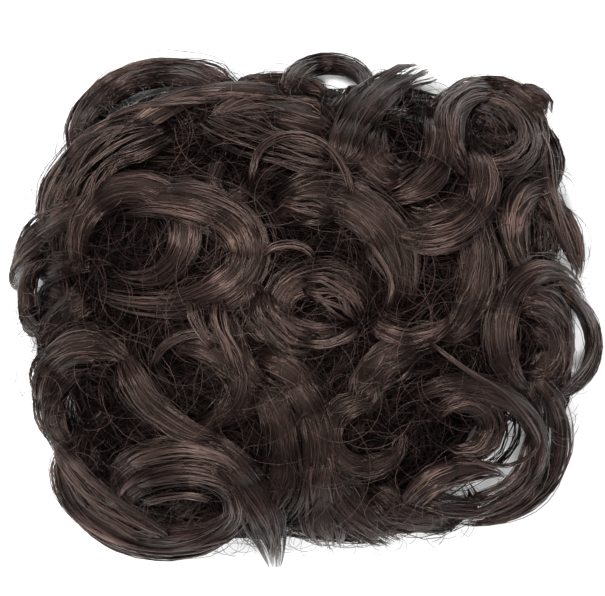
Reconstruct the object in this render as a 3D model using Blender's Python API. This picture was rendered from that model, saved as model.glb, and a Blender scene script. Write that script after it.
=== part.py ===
"""Clip-in hairpiece: a loose bun of curled locks on a domed cap with two clip combs.

Metres, +Z up. The origin is on the ground, in the middle of the piece. The piece lies as it does on a
table: the cap's mouth and the lowest curls rest on the ground, and the front comb is towards -Y.
"""
import functools
import math

import bmesh
import bpy
from mathutils import Vector

# Overall reach of the curls
PIECE_WIDTH = 0.200
PIECE_DEPTH = 0.171
CROWN_HEIGHT = 0.070

# Form of the crown: squareness of the plan, fullness of the top and steepness of the sides
PLAN_CORNER = 2.8
CROWN_FULLNESS = 2.6
CROWN_SHOULDER = 0.60
STEEPEST_LAY = 1.3

# One lock of hair and the rod that it was curled on
LOCK_WIDTH = 0.014
LOCK_THICKNESS = 0.0070
CURL_RADIUS = 0.015
LAYER_DEPTH = 0.0060
LOCK_SIDES = 6
LOCK_STATION = 0.0115
ROOT_FULLNESS = 0.50
TIP_FULLNESS = 0.22

# Both ends of a lock dive between its neighbours: depth in layers, and share of the lock's length
ROOT_DIVE = 2.0
ROOT_DIVE_LENGTH = 0.16
TIP_DIVE = 0.7
TIP_DIVE_LENGTH = 0.14

# Bed of wefts that the locks are sewn to
BED_WIDTH = 0.164
BED_DEPTH = 0.138
BED_HEIGHT = 0.057
BED_ROUNDNESS = 2.7

# Where the bed draws in from the edge of the curls, so that the ground shows between them.
# direction in degrees from +X towards +Y, share of the reach, half width in degrees
BED_HOLLOWS = (
    ("behind", 100, 0.10, 28),
    ("front_right", -39, 0.16, 15),
)

# Cap, which holds the wearer's own bun
CAP_WIDTH = 0.116
CAP_DEPTH = 0.096
CAP_HEIGHT = 0.030
CAP_WALL = 0.0015

# Facets of the cap and the bed
DOME_SIDES = 32
DOME_RINGS = 6
FLAT_TOP = 0.2

# Clip combs, lying flat inside the cap's mouth
COMB_WIDTH = 0.042
COMB_SPINE = 0.0045
COMB_THICKNESS = 0.0018
COMB_RISE = 0.0012
TOOTH_COUNT = 9
TOOTH_LENGTH = 0.020
TOOTH_ROOT = 0.0024
TOOTH_TIP = 0.0010

# Gap left between pieces that touch
CLEARANCE = 0.0003

# The locks. Centre: shares of half the width and half the depth. Angles: degrees, from +X towards +Y.
# Radii: shares of CURL_RADIUS. Oval: depth of the curl over its width. Width: share of LOCK_WIDTH.
# Sink: how far the lock's top lies under the crown at its two ends, in layers.
# name, centre x, centre y, start angle, sweep, start radius, end radius, oval, width, sink, end sink
LOCKS = (
    ("crown_left_sweep", -0.48, 0.62, 36, 155, 2.18, 1.82, 0.88, 1.13, 0.8, 1.2),
    ("crown_left_band", -0.24, 0.19, 66, 76, 3.82, 3.56, 1.00, 0.73, 0.4, 0.8),
    ("left_fall", -0.51, 0.29, 80, 108, 2.22, 2.22, 1.07, 1.33, 0.6, 1.2),
    ("rose_heart", -0.54, 0.26, 205, -325, 1.42, 0.89, 0.95, 0.87, 0.1, 0.8),
    ("rose_outer", -0.46, 0.21, 125, -255, 1.82, 2.04, 0.60, 1.13, 0.2, 0.5),
    ("left_ear", -0.64, -0.08, 85, 66, 2.67, 2.62, 1.00, 0.80, 0.8, 0.4),
    ("left_loop", -0.86, 0.05, 70, 230, 0.49, 0.49, 1.65, 0.43, 0.9, 0.9),
    ("left_shoulder", -0.68, -0.16, 92, 105, 1.11, 1.11, 0.95, 0.87, 0.9, 1.2),
    ("low_left_wave", -0.70, -0.35, 188, -150, 1.14, 1.20, 1.00, 0.87, 0.2, 0.4),
    ("low_left_slide", -0.24, -0.11, 188, 82, 2.29, 2.29, 1.00, 0.80, 0.2, 0.5),
    ("low_left_tuck", -0.67, -0.39, 105, 145, 1.13, 1.09, 0.95, 0.87, 0.9, 1.1),
    ("barrel_outer", -0.47, -0.60, 168, 180, 2.18, 2.18, 0.80, 1.20, 0.4, 0.6),
    ("barrel_heart", -0.39, -0.77, 190, -300, 1.38, 1.11, 0.64, 0.75, 0.2, 0.8),
    ("barrel_top", -0.40, -0.76, 165, -160, 1.60, 1.56, 0.78, 0.80, 0.5, 0.8),
    ("hem_point", -0.58, -1.00, 64, -64, 3.22, 3.22, 1.00, 1.00, 0.4, 0.6),
    ("hem_left", -0.39, -0.56, 48, -86, 2.22, 2.22, 1.00, 0.87, 0.5, 0.9),
    ("hem_middle", -0.28, -0.56, 52, -92, 2.22, 2.22, 1.00, 0.93, 0.3, 0.7),
    ("hem_fan", 0.49, -0.71, 158, 46, 2.90, 2.90, 1.00, 1.00, 0.5, 0.7),
    ("hem_right", 0.42, -0.51, 178, 72, 2.33, 2.33, 1.00, 1.07, 0.6, 0.9),
    ("low_ring", 0.22, -0.50, 60, 320, 0.98, 0.67, 0.85, 0.67, 0.4, 0.9),
    ("low_right_hoop", 0.51, -0.55, 125, -220, 1.82, 1.87, 0.77, 0.73, 0.3, 0.7),
    ("low_right_heart", 0.55, -0.48, 160, -290, 0.76, 0.53, 0.95, 0.67, 0.5, 0.9),
    ("low_right_lip", 0.56, -0.90, 155, -92, 1.60, 1.60, 1.00, 0.80, 0.4, 0.7),
    ("low_right_edge", 0.56, -0.51, 60, -155, 2.04, 2.04, 0.92, 0.47, 1.0, 1.1),
    ("low_right_tuck", 0.46, -0.61, 200, 105, 1.56, 1.47, 0.82, 1.13, 0.9, 1.1),
    ("right_barrel_band", 0.81, -0.10, 245, -205, 1.11, 1.16, 1.20, 0.80, 0.3, 0.6),
    ("right_barrel_side", 0.73, -0.16, 115, -165, 0.89, 0.93, 1.20, 1.00, 0.5, 0.9),
    ("right_barrel_heart", 0.76, -0.16, 110, -230, 0.53, 0.44, 1.20, 0.80, 0.7, 1.2),
    ("right_stray", 0.815, -0.14, 90, -175, 1.14, 1.14, 1.05, 0.27, 1.0, 1.0),
    ("right_shoulder", 0.82, 0.29, 80, 175, 0.84, 0.84, 1.20, 0.87, 0.5, 0.9),
    ("right_slope", 0.58, 0.12, 60, -58, 2.31, 2.31, 1.00, 0.73, 0.6, 0.8),
    ("crown_right_ring", 0.65, 0.68, 250, -320, 1.11, 0.98, 1.10, 0.80, 0.4, 0.8),
    ("crown_right_side", 0.59, 0.54, 62, -80, 1.69, 1.69, 1.15, 0.60, 0.9, 1.1),
    ("crown_right_stub", 0.77, 0.80, 130, -130, 0.40, 0.36, 1.00, 0.47, 1.0, 0.8),
    ("crown_stub", 0.59, 0.43, 172, -61, 3.11, 3.11, 1.00, 1.13, 0.3, 0.5),
    ("crown_loop", 0.09, 0.84, 205, -245, 0.93, 0.89, 0.84, 0.50, 0.8, 0.9),
    ("crown_loop_foot", -0.09, 0.54, 118, -66, 2.00, 2.00, 1.00, 0.47, 0.9, 1.0),
    ("crown_back", -0.11, 0.35, 55, 75, 2.33, 2.33, 1.00, 1.33, 0.9, 1.2),
    ("crown_pin_curl", -0.23, 0.47, 100, 270, 0.44, 0.33, 1.00, 0.47, 0.6, 0.9),
    ("centre_swirl", 0.06, 0.08, 125, -140, 1.78, 1.78, 1.06, 1.27, 0.2, 0.7),
    ("right_cup", 0.27, 0.62, 35, -130, 1.24, 1.24, 0.97, 0.80, 0.1, 0.4),
    ("right_cup_outer", 0.39, 0.47, 42, -172, 1.38, 1.38, 0.92, 0.87, 0.2, 0.5),
    ("right_cup_inner", 0.41, 0.48, 15, -145, 0.93, 0.93, 0.92, 0.73, 0.5, 0.7),
    ("right_cup_heart", 0.31, 0.60, 120, 210, 0.62, 0.53, 1.00, 0.93, 0.7, 1.1),
    ("centre_rose", 0.07, -0.01, 10, 330, 1.15, 0.86, 0.68, 0.60, 0.3, 0.8),
    ("centre_rose_lip", 0.02, 0.06, 168, 84, 1.24, 1.24, 0.98, 0.73, 0.3, 0.6),
    ("left_drop", -0.04, 0.04, 172, 68, 2.11, 2.11, 1.00, 0.73, 0.4, 0.8),
    ("centre_drop", 0.09, 0.04, 170, 66, 2.44, 2.44, 1.00, 0.87, 0.2, 0.6),
    ("centre_drop_turn", -0.18, -0.43, 82, -88, 1.38, 1.38, 1.00, 0.87, 0.3, 0.7),
    ("right_drop", 0.26, 0.16, 44, -98, 2.18, 2.13, 1.00, 1.07, 0.5, 0.9),
    ("centre_wedge", 0.34, 0.08, 232, 92, 1.18, 1.18, 1.00, 0.53, 0.4, 0.7),
    ("low_centre_fall", 0.42, -0.43, 98, 84, 1.56, 1.56, 1.00, 1.00, 0.5, 0.9),
    ("left_ring", -0.36, -0.29, 140, -260, 1.11, 1.02, 0.92, 0.60, 0.6, 0.9),
    ("left_ring_outer", -0.39, -0.35, 112, -155, 1.29, 1.29, 0.90, 0.73, 0.4, 0.8),
)


# Locks round the side. Direction: degrees from +X towards +Y. Height of the curl's middle: share of
# CROWN_HEIGHT. The other columns are those of LOCKS, with angles from sideways (anticlockwise) to up.
# name, direction, height, start angle, sweep, start radius, end radius, oval, width, sink, end sink
SIDE_LOCKS = (
    ("side_right", 2, 0.30, 120, 230, 0.95, 0.80, 1.00, 0.80, 1.1, 1.5),
    ("side_right_back", 24, 0.30, 60, -235, 1.05, 0.85, 0.95, 0.85, 1.0, 1.4),
    ("side_back_corner", 46, 0.28, 130, 220, 1.00, 0.90, 1.00, 0.90, 0.9, 1.3),
    ("side_back_right", 68, 0.30, 70, -240, 1.10, 0.90, 0.90, 0.80, 1.0, 1.5),
    ("side_back", 92, 0.32, 115, 225, 1.10, 0.85, 1.00, 0.90, 1.2, 1.5),
    ("side_back_left", 116, 0.28, 60, -230, 1.00, 0.90, 0.95, 0.80, 1.0, 1.4),
    ("side_left_corner", 138, 0.30, 125, 230, 1.10, 0.90, 1.00, 0.85, 1.0, 1.4),
    ("side_left_back", 160, 0.30, 65, -225, 1.00, 0.85, 1.00, 0.85, 1.1, 1.4),
    ("side_left", 184, 0.28, 120, 235, 0.95, 0.80, 1.00, 0.80, 1.3, 1.6),
    ("side_left_front", 207, 0.30, 60, -235, 1.05, 0.90, 0.95, 0.90, 1.1, 1.4),
    ("side_front_left", 252, 0.32, 120, 230, 1.10, 0.90, 1.00, 0.85, 0.9, 1.4),
    ("side_front", 276, 0.30, 65, -235, 1.10, 0.90, 0.95, 0.90, 0.8, 1.3),
    ("side_front_right", 300, 0.30, 125, 225, 1.05, 0.85, 1.00, 0.85, 1.0, 1.4),
    ("side_right_front", 338, 0.28, 60, -230, 0.95, 0.80, 1.00, 0.80, 1.1, 1.4),
)


def clear_scene():
    """Remove whatever the scene holds."""
    for item in list(bpy.data.objects):
        bpy.data.objects.remove(item, do_unlink=True)


def material(name, colour, roughness, metallic=0.0):
    """A plain surface for one piece."""
    surface = bpy.data.materials.new(name)
    surface.use_nodes = True
    shader = surface.node_tree.nodes["Principled BSDF"]
    shader.inputs["Base Color"].default_value = (*colour, 1.0)
    shader.inputs["Roughness"].default_value = roughness
    shader.inputs["Metallic"].default_value = metallic
    return surface


def place(bm, name, surface):
    """Turn a finished bmesh into an object of the scene."""
    bmesh.ops.recalc_face_normals(bm, faces=bm.faces)
    mesh = bpy.data.meshes.new(name)
    bm.to_mesh(mesh)
    bm.free()
    mesh.materials.append(surface)
    item = bpy.data.objects.new(name, mesh)
    bpy.context.scene.collection.objects.link(item)
    return item


def plan_spread(x, y):
    """How far out a place lies: 0 in the middle, 1 at the edge of the curls."""
    across = abs(2 * x / PIECE_WIDTH) ** PLAN_CORNER
    along = abs(2 * y / PIECE_DEPTH) ** PLAN_CORNER
    return (across + along) ** (1 / PLAN_CORNER)


def crown_top(x, y):
    """Height of the top of the curls over a place on the ground."""
    spread = min(1.0, plan_spread(x, y))
    return CROWN_HEIGHT * (1 - spread ** CROWN_FULLNESS) ** CROWN_SHOULDER


def crown_lay(place, depth):
    """Place on the crown over a place on the ground plan, a depth under its top, and the way out of it."""
    step = 0.5 * LOCK_THICKNESS
    slope = Vector((crown_top(place.x + step, place.y) - crown_top(place.x - step, place.y),
                    crown_top(place.x, place.y + step) - crown_top(place.x, place.y - step))) / (2 * step)
    if slope.length > STEEPEST_LAY:
        slope = slope.normalized() * STEEPEST_LAY
    height = crown_top(place.x, place.y) - depth
    return Vector((place.x, place.y, height)), Vector((-slope.x, -slope.y, 1.0)).normalized()


def side_lay(direction, place, depth):
    """Place on the side of the crown, from a distance sideways and a height, and the way out of it."""
    turn = direction + place.x / (0.25 * (PIECE_WIDTH + PIECE_DEPTH))
    height = max(0.5 * LOCK_THICKNESS, place.y)
    spread = (1 - (height / CROWN_HEIGHT) ** (1 / CROWN_SHOULDER)) ** (1 / CROWN_FULLNESS)
    corner = abs(math.cos(turn)) ** PLAN_CORNER + abs(math.sin(turn)) ** PLAN_CORNER
    reach = spread * corner ** (-1 / PLAN_CORNER)
    out = Vector((math.cos(turn), math.sin(turn), 0.0))
    foot = Vector((0.5 * PIECE_WIDTH * reach * out.x, 0.5 * PIECE_DEPTH * reach * out.y, height))
    lean = Vector((out.x, out.y, height / CROWN_HEIGHT)).normalized()
    return foot - out * depth, lean


def lock_fullness(t):
    """Width of a lock along its length, as a share of its full width."""
    return min(1.0, ROOT_FULLNESS + 2.5 * t, TIP_FULLNESS + 2.2 * (1 - t))


def lock_depth(t, sink, end_sink):
    """How far a lock's top lies under the crown along its length."""
    root = max(0.0, 1 - t / ROOT_DIVE_LENGTH)
    tip = max(0.0, 1 - (1 - t) / TIP_DIVE_LENGTH)
    return LAYER_DEPTH * (sink + (end_sink - sink) * t + ROOT_DIVE * root ** 2 + TIP_DIVE * tip ** 2)


def curl_route(middle, start, sweep, first, last, oval):
    """Places along one curl, drawn flat round its middle."""
    length = abs(math.radians(sweep)) * 0.5 * (first + last) * CURL_RADIUS
    count = max(5, round(length / LOCK_STATION) + 1)
    route = []
    for number in range(count):
        t = number / (count - 1)
        turn = math.radians(start + sweep * t)
        radius = CURL_RADIUS * (first + (last - first) * t)
        route.append(middle + radius * Vector((math.cos(turn), oval * math.sin(turn))))
    return route


def lock_rings(route, lay, width, sink, end_sink):
    """Oval rings of points along a route that a lay puts on the crown or on its side."""
    last = len(route) - 1
    laid = []
    for number, place in enumerate(route):
        t = number / last
        laid.append(lay(place, lock_depth(t, sink, end_sink) + 0.5 * LOCK_THICKNESS))
    rings = []
    for number, (middle, up) in enumerate(laid):
        full = lock_fullness(number / last)
        ahead = laid[min(number + 1, last)][0] - laid[max(number - 1, 0)][0]
        across = up.cross(ahead).normalized()
        up = ahead.cross(across).normalized()
        side = across * (0.5 * width * LOCK_WIDTH * full)
        rise = up * (0.5 * LOCK_THICKNESS * math.sqrt(full))
        ring = []
        for corner in range(LOCK_SIDES):
            turn = 2 * math.pi * corner / LOCK_SIDES
            ring.append(middle + side * math.cos(turn) + rise * math.sin(turn))
        lift = max(0.0, -min(point.z for point in ring))
        rings.append([point + Vector((0.0, 0.0, lift)) for point in ring])
    return rings


def loft(bm, rings):
    """Skin a run of rings of points, with both ends closed."""
    ring = [bm.verts.new(point) for point in rings[0]]
    edges = [bm.edges.new((one, two)) for one, two in zip(ring, ring[1:] + ring[:1])]
    bmesh.ops.contextual_create(bm, geom=edges)
    for points in rings[1:]:
        grown = bmesh.ops.extrude_edge_only(bm, edges=edges)["geom"]
        fresh = {item for item in grown if isinstance(item, bmesh.types.BMVert)}
        edges = [item for item in grown if isinstance(item, bmesh.types.BMEdge)
                 and item.verts[0] in fresh and item.verts[1] in fresh]
        ring = [next(edge.other_vert(old) for edge in old.link_edges if edge.other_vert(old) in fresh)
                for old in ring]
        for vertex, point in zip(ring, points):
            vertex.co = point
    bmesh.ops.contextual_create(bm, geom=edges)


def dome_rings(width, depth, height):
    """Rings of a half dome, from its mouth on the ground up to its small flat top."""
    rings = []
    for climb in climbs():
        ring = []
        for turn in turns():
            ring.append(Vector((0.5 * width * math.cos(climb) * math.cos(turn),
                                0.5 * depth * math.cos(climb) * math.sin(turn),
                                height * math.sin(climb))))
        rings.append(ring)
    return rings


def bed_rings():
    """Rings of the bed's outer face: as square in plan as the crown, with a full shoulder."""
    rings = []
    for climb in climbs():
        share = math.cos(climb)
        height = BED_HEIGHT * (1 - share ** BED_ROUNDNESS) ** (1 / BED_ROUNDNESS)
        ring = []
        for turn in turns():
            corner = abs(math.cos(turn)) ** PLAN_CORNER + abs(math.sin(turn)) ** PLAN_CORNER
            reach = share * corner ** (-1 / PLAN_CORNER)
            for _, direction, depth, half_width in BED_HOLLOWS:
                off = math.remainder(turn - math.radians(direction), 2 * math.pi) / math.radians(half_width)
                reach *= 1 - depth * math.exp(-off * off)
            ring.append(Vector((0.5 * BED_WIDTH * reach * math.cos(turn),
                                0.5 * BED_DEPTH * reach * math.sin(turn), height)))
        rings.append(ring)
    return rings


def climbs():
    """Angles at which a dome's rings lie above the ground; the last one leaves a small flat top."""
    return [0.5 * math.pi * min(level, DOME_RINGS - FLAT_TOP) / DOME_RINGS for level in range(DOME_RINGS + 1)]


def turns():
    """Angles of a dome's corners round the upright axis."""
    return [2 * math.pi * side / DOME_SIDES for side in range(DOME_SIDES)]


def shell(bm, outer, inner):
    """A wall between two domes that share the ground, open below."""
    loft(bm, outer[::-1] + inner)


def make_cap():
    """The domed cap, a thin wall with an open mouth."""
    bm = bmesh.new()
    wall = 2 * CAP_WALL
    shell(bm, dome_rings(CAP_WIDTH, CAP_DEPTH, CAP_HEIGHT),
          dome_rings(CAP_WIDTH - wall, CAP_DEPTH - wall, CAP_HEIGHT - CAP_WALL))
    return place(bm, "cap", material("cap_cloth", (0.020, 0.016, 0.015), 0.90))


def make_comb(name, facing, surface):
    """One clip comb: a spine that follows the cap's mouth, and teeth that point to the middle."""
    half_width = 0.5 * CAP_WIDTH - CAP_WALL - CLEARANCE
    half_depth = 0.5 * CAP_DEPTH - CAP_WALL - CLEARANCE

    def edge(x, inset):
        # The mouth narrows above the ground, so the comb's top sets how far out its spine may lie.
        top = (COMB_RISE + COMB_THICKNESS) / (CAP_HEIGHT - CAP_WALL - CLEARANCE)
        shrink = math.sqrt(1 - top * top)
        return half_depth * math.sqrt(shrink * shrink - (x / half_width) ** 2) - inset

    outline = [Vector((COMB_WIDTH * (number / 8 - 0.5), edge(COMB_WIDTH * (number / 8 - 0.5), CLEARANCE)))
               for number in range(9)]
    pitch = (COMB_WIDTH - TOOTH_ROOT) / (TOOTH_COUNT - 1)
    for number in reversed(range(TOOTH_COUNT)):
        x = pitch * (number - 0.5 * (TOOTH_COUNT - 1))
        for side, width in ((1, TOOTH_ROOT), (1, TOOTH_TIP), (-1, TOOTH_TIP), (-1, TOOTH_ROOT)):
            inset = COMB_SPINE + (TOOTH_LENGTH if width == TOOTH_TIP else 0.0)
            outline.append(Vector((x + side * 0.5 * width, edge(x, inset))))
    bm = bmesh.new()
    corners = [bm.verts.new((facing * point.x, facing * point.y, COMB_RISE)) for point in outline]
    flat = bm.faces.new(corners)
    grown = bmesh.ops.extrude_face_region(bm, geom=[flat])["geom"]
    bmesh.ops.translate(bm, vec=(0.0, 0.0, COMB_THICKNESS),
                        verts=[item for item in grown if isinstance(item, bmesh.types.BMVert)])
    return place(bm, name, surface)


def fuse(body, extras):
    """Join a collection of solids to one body, and fill the closed pockets left between them."""
    union = body.modifiers.new("union", "BOOLEAN")
    union.operation = "UNION"
    union.solver = "MANIFOLD"
    union.operand_type = "COLLECTION"
    union.collection = extras
    evaluated = body.evaluated_get(bpy.context.evaluated_depsgraph_get())
    bm = bmesh.new()
    bm.from_mesh(evaluated.to_mesh())
    body.modifiers.clear()
    for extra in list(extras.objects):
        bpy.data.objects.remove(extra, do_unlink=True)
    shells = sorted(connected(bm), key=len)
    for pocket in shells[:-1]:
        bmesh.ops.delete(bm, geom=pocket, context="VERTS")
    bmesh.ops.triangulate(bm, faces=bm.faces)
    bm.to_mesh(body.data)
    bm.free()


def connected(bm):
    """Groups of vertices that hang together by edges."""
    unseen = set(bm.verts)
    groups = []
    while unseen:
        group = [unseen.pop()]
        for vertex in group:
            for edge in vertex.link_edges:
                other = edge.other_vert(vertex)
                if other in unseen:
                    unseen.remove(other)
                    group.append(other)
        groups.append(group)
    return groups


def add_lock(locks, name, rings, surface):
    """One lock as a solid of its own, in the collection that is fused to the bed."""
    bm = bmesh.new()
    loft(bm, rings)
    lock = place(bm, name, surface)
    bpy.context.scene.collection.objects.unlink(lock)
    locks.objects.link(lock)


def make_hair():
    """All the locks, fused to the bed of wefts round the cap."""
    brown = material("hair_fibre", (0.036, 0.024, 0.021), 0.45)
    bm = bmesh.new()
    gap = 2 * CLEARANCE
    shell(bm, bed_rings(), dome_rings(CAP_WIDTH + gap, CAP_DEPTH + gap, CAP_HEIGHT + CLEARANCE))
    hair = place(bm, "hair", brown)
    locks = bpy.data.collections.new("locks")
    bpy.context.scene.collection.children.link(locks)
    for name, centre_x, centre_y, start, sweep, first, last, oval, width, sink, end_sink in LOCKS:
        middle = Vector((centre_x * PIECE_WIDTH / 2, centre_y * PIECE_DEPTH / 2))
        route = curl_route(middle, start, sweep, first, last, oval)
        add_lock(locks, name, lock_rings(route, crown_lay, width, sink, end_sink), brown)
    for name, direction, height, start, sweep, first, last, oval, width, sink, end_sink in SIDE_LOCKS:
        route = curl_route(Vector((0.0, height * CROWN_HEIGHT)), start, sweep, first, last, oval)
        lay = functools.partial(side_lay, math.radians(direction))
        add_lock(locks, name, lock_rings(route, lay, width, sink, end_sink), brown)
    fuse(hair, locks)
    hair.data.shade_smooth()
    hair.data.set_sharp_from_angle(angle=math.radians(50))
    return hair


def main():
    clear_scene()
    make_cap()
    black = material("comb_plastic", (0.012, 0.011, 0.011), 0.35)
    make_comb("comb_front", -1, black)
    make_comb("comb_rear", 1, black)
    make_hair()


main()
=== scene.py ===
"""Looks of a clip-in hairpiece: a loose bun of curled locks, its net cap and its two clip combs.

Every lock is wound in the way that the real one is: a straight hank of fibres is laid round a curl, on
the crown or on the side of the bun. Metres, +Z up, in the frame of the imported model.
"""
import logging
import math
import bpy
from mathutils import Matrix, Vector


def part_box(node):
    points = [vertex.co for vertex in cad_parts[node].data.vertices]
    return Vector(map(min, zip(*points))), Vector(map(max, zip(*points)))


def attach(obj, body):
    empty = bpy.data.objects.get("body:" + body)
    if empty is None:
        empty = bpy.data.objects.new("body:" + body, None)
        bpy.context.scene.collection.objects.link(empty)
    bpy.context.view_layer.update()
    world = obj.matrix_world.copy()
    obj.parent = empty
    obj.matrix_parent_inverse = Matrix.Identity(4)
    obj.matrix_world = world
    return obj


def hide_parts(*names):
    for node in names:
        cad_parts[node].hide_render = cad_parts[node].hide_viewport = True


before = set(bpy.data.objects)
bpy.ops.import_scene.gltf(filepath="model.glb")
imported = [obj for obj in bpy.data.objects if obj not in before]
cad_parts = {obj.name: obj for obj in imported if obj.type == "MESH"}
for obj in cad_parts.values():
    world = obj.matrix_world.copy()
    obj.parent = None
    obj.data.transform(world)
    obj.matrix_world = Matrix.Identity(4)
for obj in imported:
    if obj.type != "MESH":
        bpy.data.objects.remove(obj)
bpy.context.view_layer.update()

import zlib
from dataclasses import dataclass, field, replace
from enum import Enum

import bmesh
import bpy
import numpy as np
from mathutils import Vector

log = logging.getLogger("hairpiece")
BODY = "root"


class Lay(Enum):
    """The surface that a lock is laid on."""

    CROWN = "crown"
    SIDE = "side"


class Tone(Enum):
    """The run of shades of a lock, its own tone or with painted light: its lowest and highest place on the
    shade ramp.
    """

    COOL = (0.16, 0.78)
    DUSK = (0.08, 0.62)
    # painted highlight: locks and trails made lighter to stand for sheen on them
    LIGHT = (0.32, 0.92)
    # painted shade: locks and trails made darker where they lie in shade, deep in the bun or on its side
    PAINTED_SHADE = (0.04, 0.46)
    WARM = (0.26, 1.00)


def to_linear(hex_colour: str) -> tuple[float, float, float, float]:
    """Turn an sRGB hex colour into the linear values that a shader takes.

    Args:
        hex_colour: Six hex digits, with or without a leading mark.

    Returns:
        Red, green, blue and an alpha of one.
    """
    digits = hex_colour.lstrip("#")
    channels = [int(digits[place:place + 2], 16) / 255 for place in (0, 2, 4)]
    linear = [c / 12.92 if c <= 0.04045 else ((c + 0.055) / 1.055) ** 2.4 for c in channels]
    return (*linear, 1.0)


def add_node(tree: bpy.types.NodeTree, kind: str, settings: dict | None = None,
             links: dict | None = None) -> bpy.types.Node:
    """Add one shader node with its settings and links.

    Args:
        tree: The material's node tree.
        kind: The node's Blender type.
        settings: Properties by name, or values of input sockets by name or number.
        links: Output sockets that feed input sockets, by the input's name or number.

    Returns:
        The new node.
    """
    node = tree.nodes.new(kind)
    for name, value in (settings or {}).items():
        if isinstance(name, str) and hasattr(node, name):
            setattr(node, name, value)
        else:
            node.inputs[name].default_value = value
    for name, source in (links or {}).items():
        tree.links.new(source, node.inputs[name])
    return node


def fill_ramp(ramp: bpy.types.ColorRamp, stops: tuple[tuple[float, str], ...]) -> None:
    """Give a colour ramp its stops.

    Args:
        ramp: The ramp of a Color Ramp node.
        stops: Place and hex colour of each stop.
    """
    while len(ramp.elements) < len(stops):
        ramp.elements.new(0.5)
    for element, (place, colour) in zip(ramp.elements, stops):
        element.position = place
        element.color = to_linear(colour)


def blank_material(name: str) -> tuple[bpy.types.Material, bpy.types.NodeTree, bpy.types.Node]:
    """Start a material with one Principled shader.

    Args:
        name: The material's name.

    Returns:
        The material, its node tree and the shader.
    """
    material = bpy.data.materials.new(name)
    material.use_nodes = True
    return material, material.node_tree, material.node_tree.nodes["Principled BSDF"]


def colour_by(tree: bpy.types.NodeTree, shader: bpy.types.Node, source: bpy.types.NodeSocket,
              stops: tuple[tuple[float, str], ...]) -> None:
    """Colour a surface by a ramp over a value.

    Args:
        tree: The material's node tree.
        shader: Its shader.
        source: The output socket that gives the value.
        stops: Place and hex colour of each stop of the ramp.
    """
    ramp = add_node(tree, "ShaderNodeValToRGB", links={0: source})
    fill_ramp(ramp.color_ramp, stops)
    tree.links.new(ramp.outputs["Color"], shader.inputs["Base Color"])


def raise_by(tree: bpy.types.NodeTree, shader: bpy.types.Node, source: bpy.types.NodeSocket, strength: float,
             distance: float) -> None:
    """Give a surface fine relief by a value.

    Args:
        tree: The material's node tree.
        shader: Its shader.
        source: The output socket that gives the value.
        strength: Strength of the relief, from 0 to 1.
        distance: Height of the relief in metres.
    """
    bump = add_node(tree, "ShaderNodeBump", {"Strength": strength, "Distance": distance}, {"Height": source})
    tree.links.new(bump.outputs["Normal"], shader.inputs["Normal"])


def set_inputs(shader: bpy.types.Node, values: dict) -> None:
    """Set input sockets of a shader, by name."""
    for name, value in values.items():
        shader.inputs[name].default_value = value


@dataclass(frozen=True)
class HairFibreFinish:
    """Drawn synthetic hair fibre, dyed dark brown: each strand catches the light along its length."""

    name: str = "synthetic_hair_fibre_drawn"
    shades: tuple[tuple[float, str], ...] = (
        (0.00, "#030202"), (0.26, "#100908"), (0.52, "#251a18"), (0.78, "#4f3e3a"), (0.92, "#5f4c45"),
        (1.00, "#755b40"))
    gloss_tint: str = "#dfc1b5"
    gloss: float = 0.66
    roughness: float = 0.35
    patch_mm: float = 26.0
    patch_shift: tuple[float, float] = (0.30, -0.15)
    patch_roughness: tuple[float, float] = (-0.06, 0.10)
    refraction: float = 1.55

    def build(self) -> bpy.types.Material:
        """Make the material; the strand's shade, painted shade and painted highlight included, is the U of
        its own map, and V runs from root to tip.
        """
        material, tree, shader = blank_material(self.name)
        strand = add_node(tree, "ShaderNodeUVMap", {"uv_map": "strand"})
        split = add_node(tree, "ShaderNodeSeparateXYZ", links={0: strand.outputs["UV"]})
        place = add_node(tree, "ShaderNodeTexCoord")
        patch = add_node(tree, "ShaderNodeTexNoise", {"Scale": 1000 / self.patch_mm, "Detail": 1.0},
                         {"Vector": place.outputs["Object"]})
        gain, drop = self.patch_shift
        shift = add_node(tree, "ShaderNodeMath", {"operation": "MULTIPLY_ADD", 1: gain, 2: drop},
                         {0: patch.outputs["Fac"]})
        shade = add_node(tree, "ShaderNodeMath", {"operation": "ADD", "use_clamp": True},
                         {0: split.outputs["X"], 1: shift.outputs[0]})
        colour_by(tree, shader, shade.outputs[0], self.shades)
        smoother, rougher = self.patch_roughness
        gloss = add_node(tree, "ShaderNodeMapRange",
                         {"To Min": self.roughness + smoother, "To Max": self.roughness + rougher},
                         {"Value": patch.outputs["Fac"]})
        tree.links.new(gloss.outputs["Result"], shader.inputs["Roughness"])
        set_inputs(shader, {"IOR": self.refraction, "Specular IOR Level": self.gloss,
                            "Specular Tint": to_linear(self.gloss_tint)})
        return material


@dataclass(frozen=True)
class ShadedFibreFinish(HairFibreFinish):
    """The same fibre where it lies deep between the locks, made darker as painted shade, and dull, with
    hardly any sheen left.
    """

    name: str = "synthetic_hair_fibre_painted_shade"
    # painted shade: a darker copy of the fibre's ramp
    shades: tuple[tuple[float, str], ...] = (
        (0.00, "#020101"), (0.28, "#080404"), (0.55, "#19100f"), (1.00, "#4a3a35"))
    gloss: float = 0.22
    roughness: float = 0.44


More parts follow.
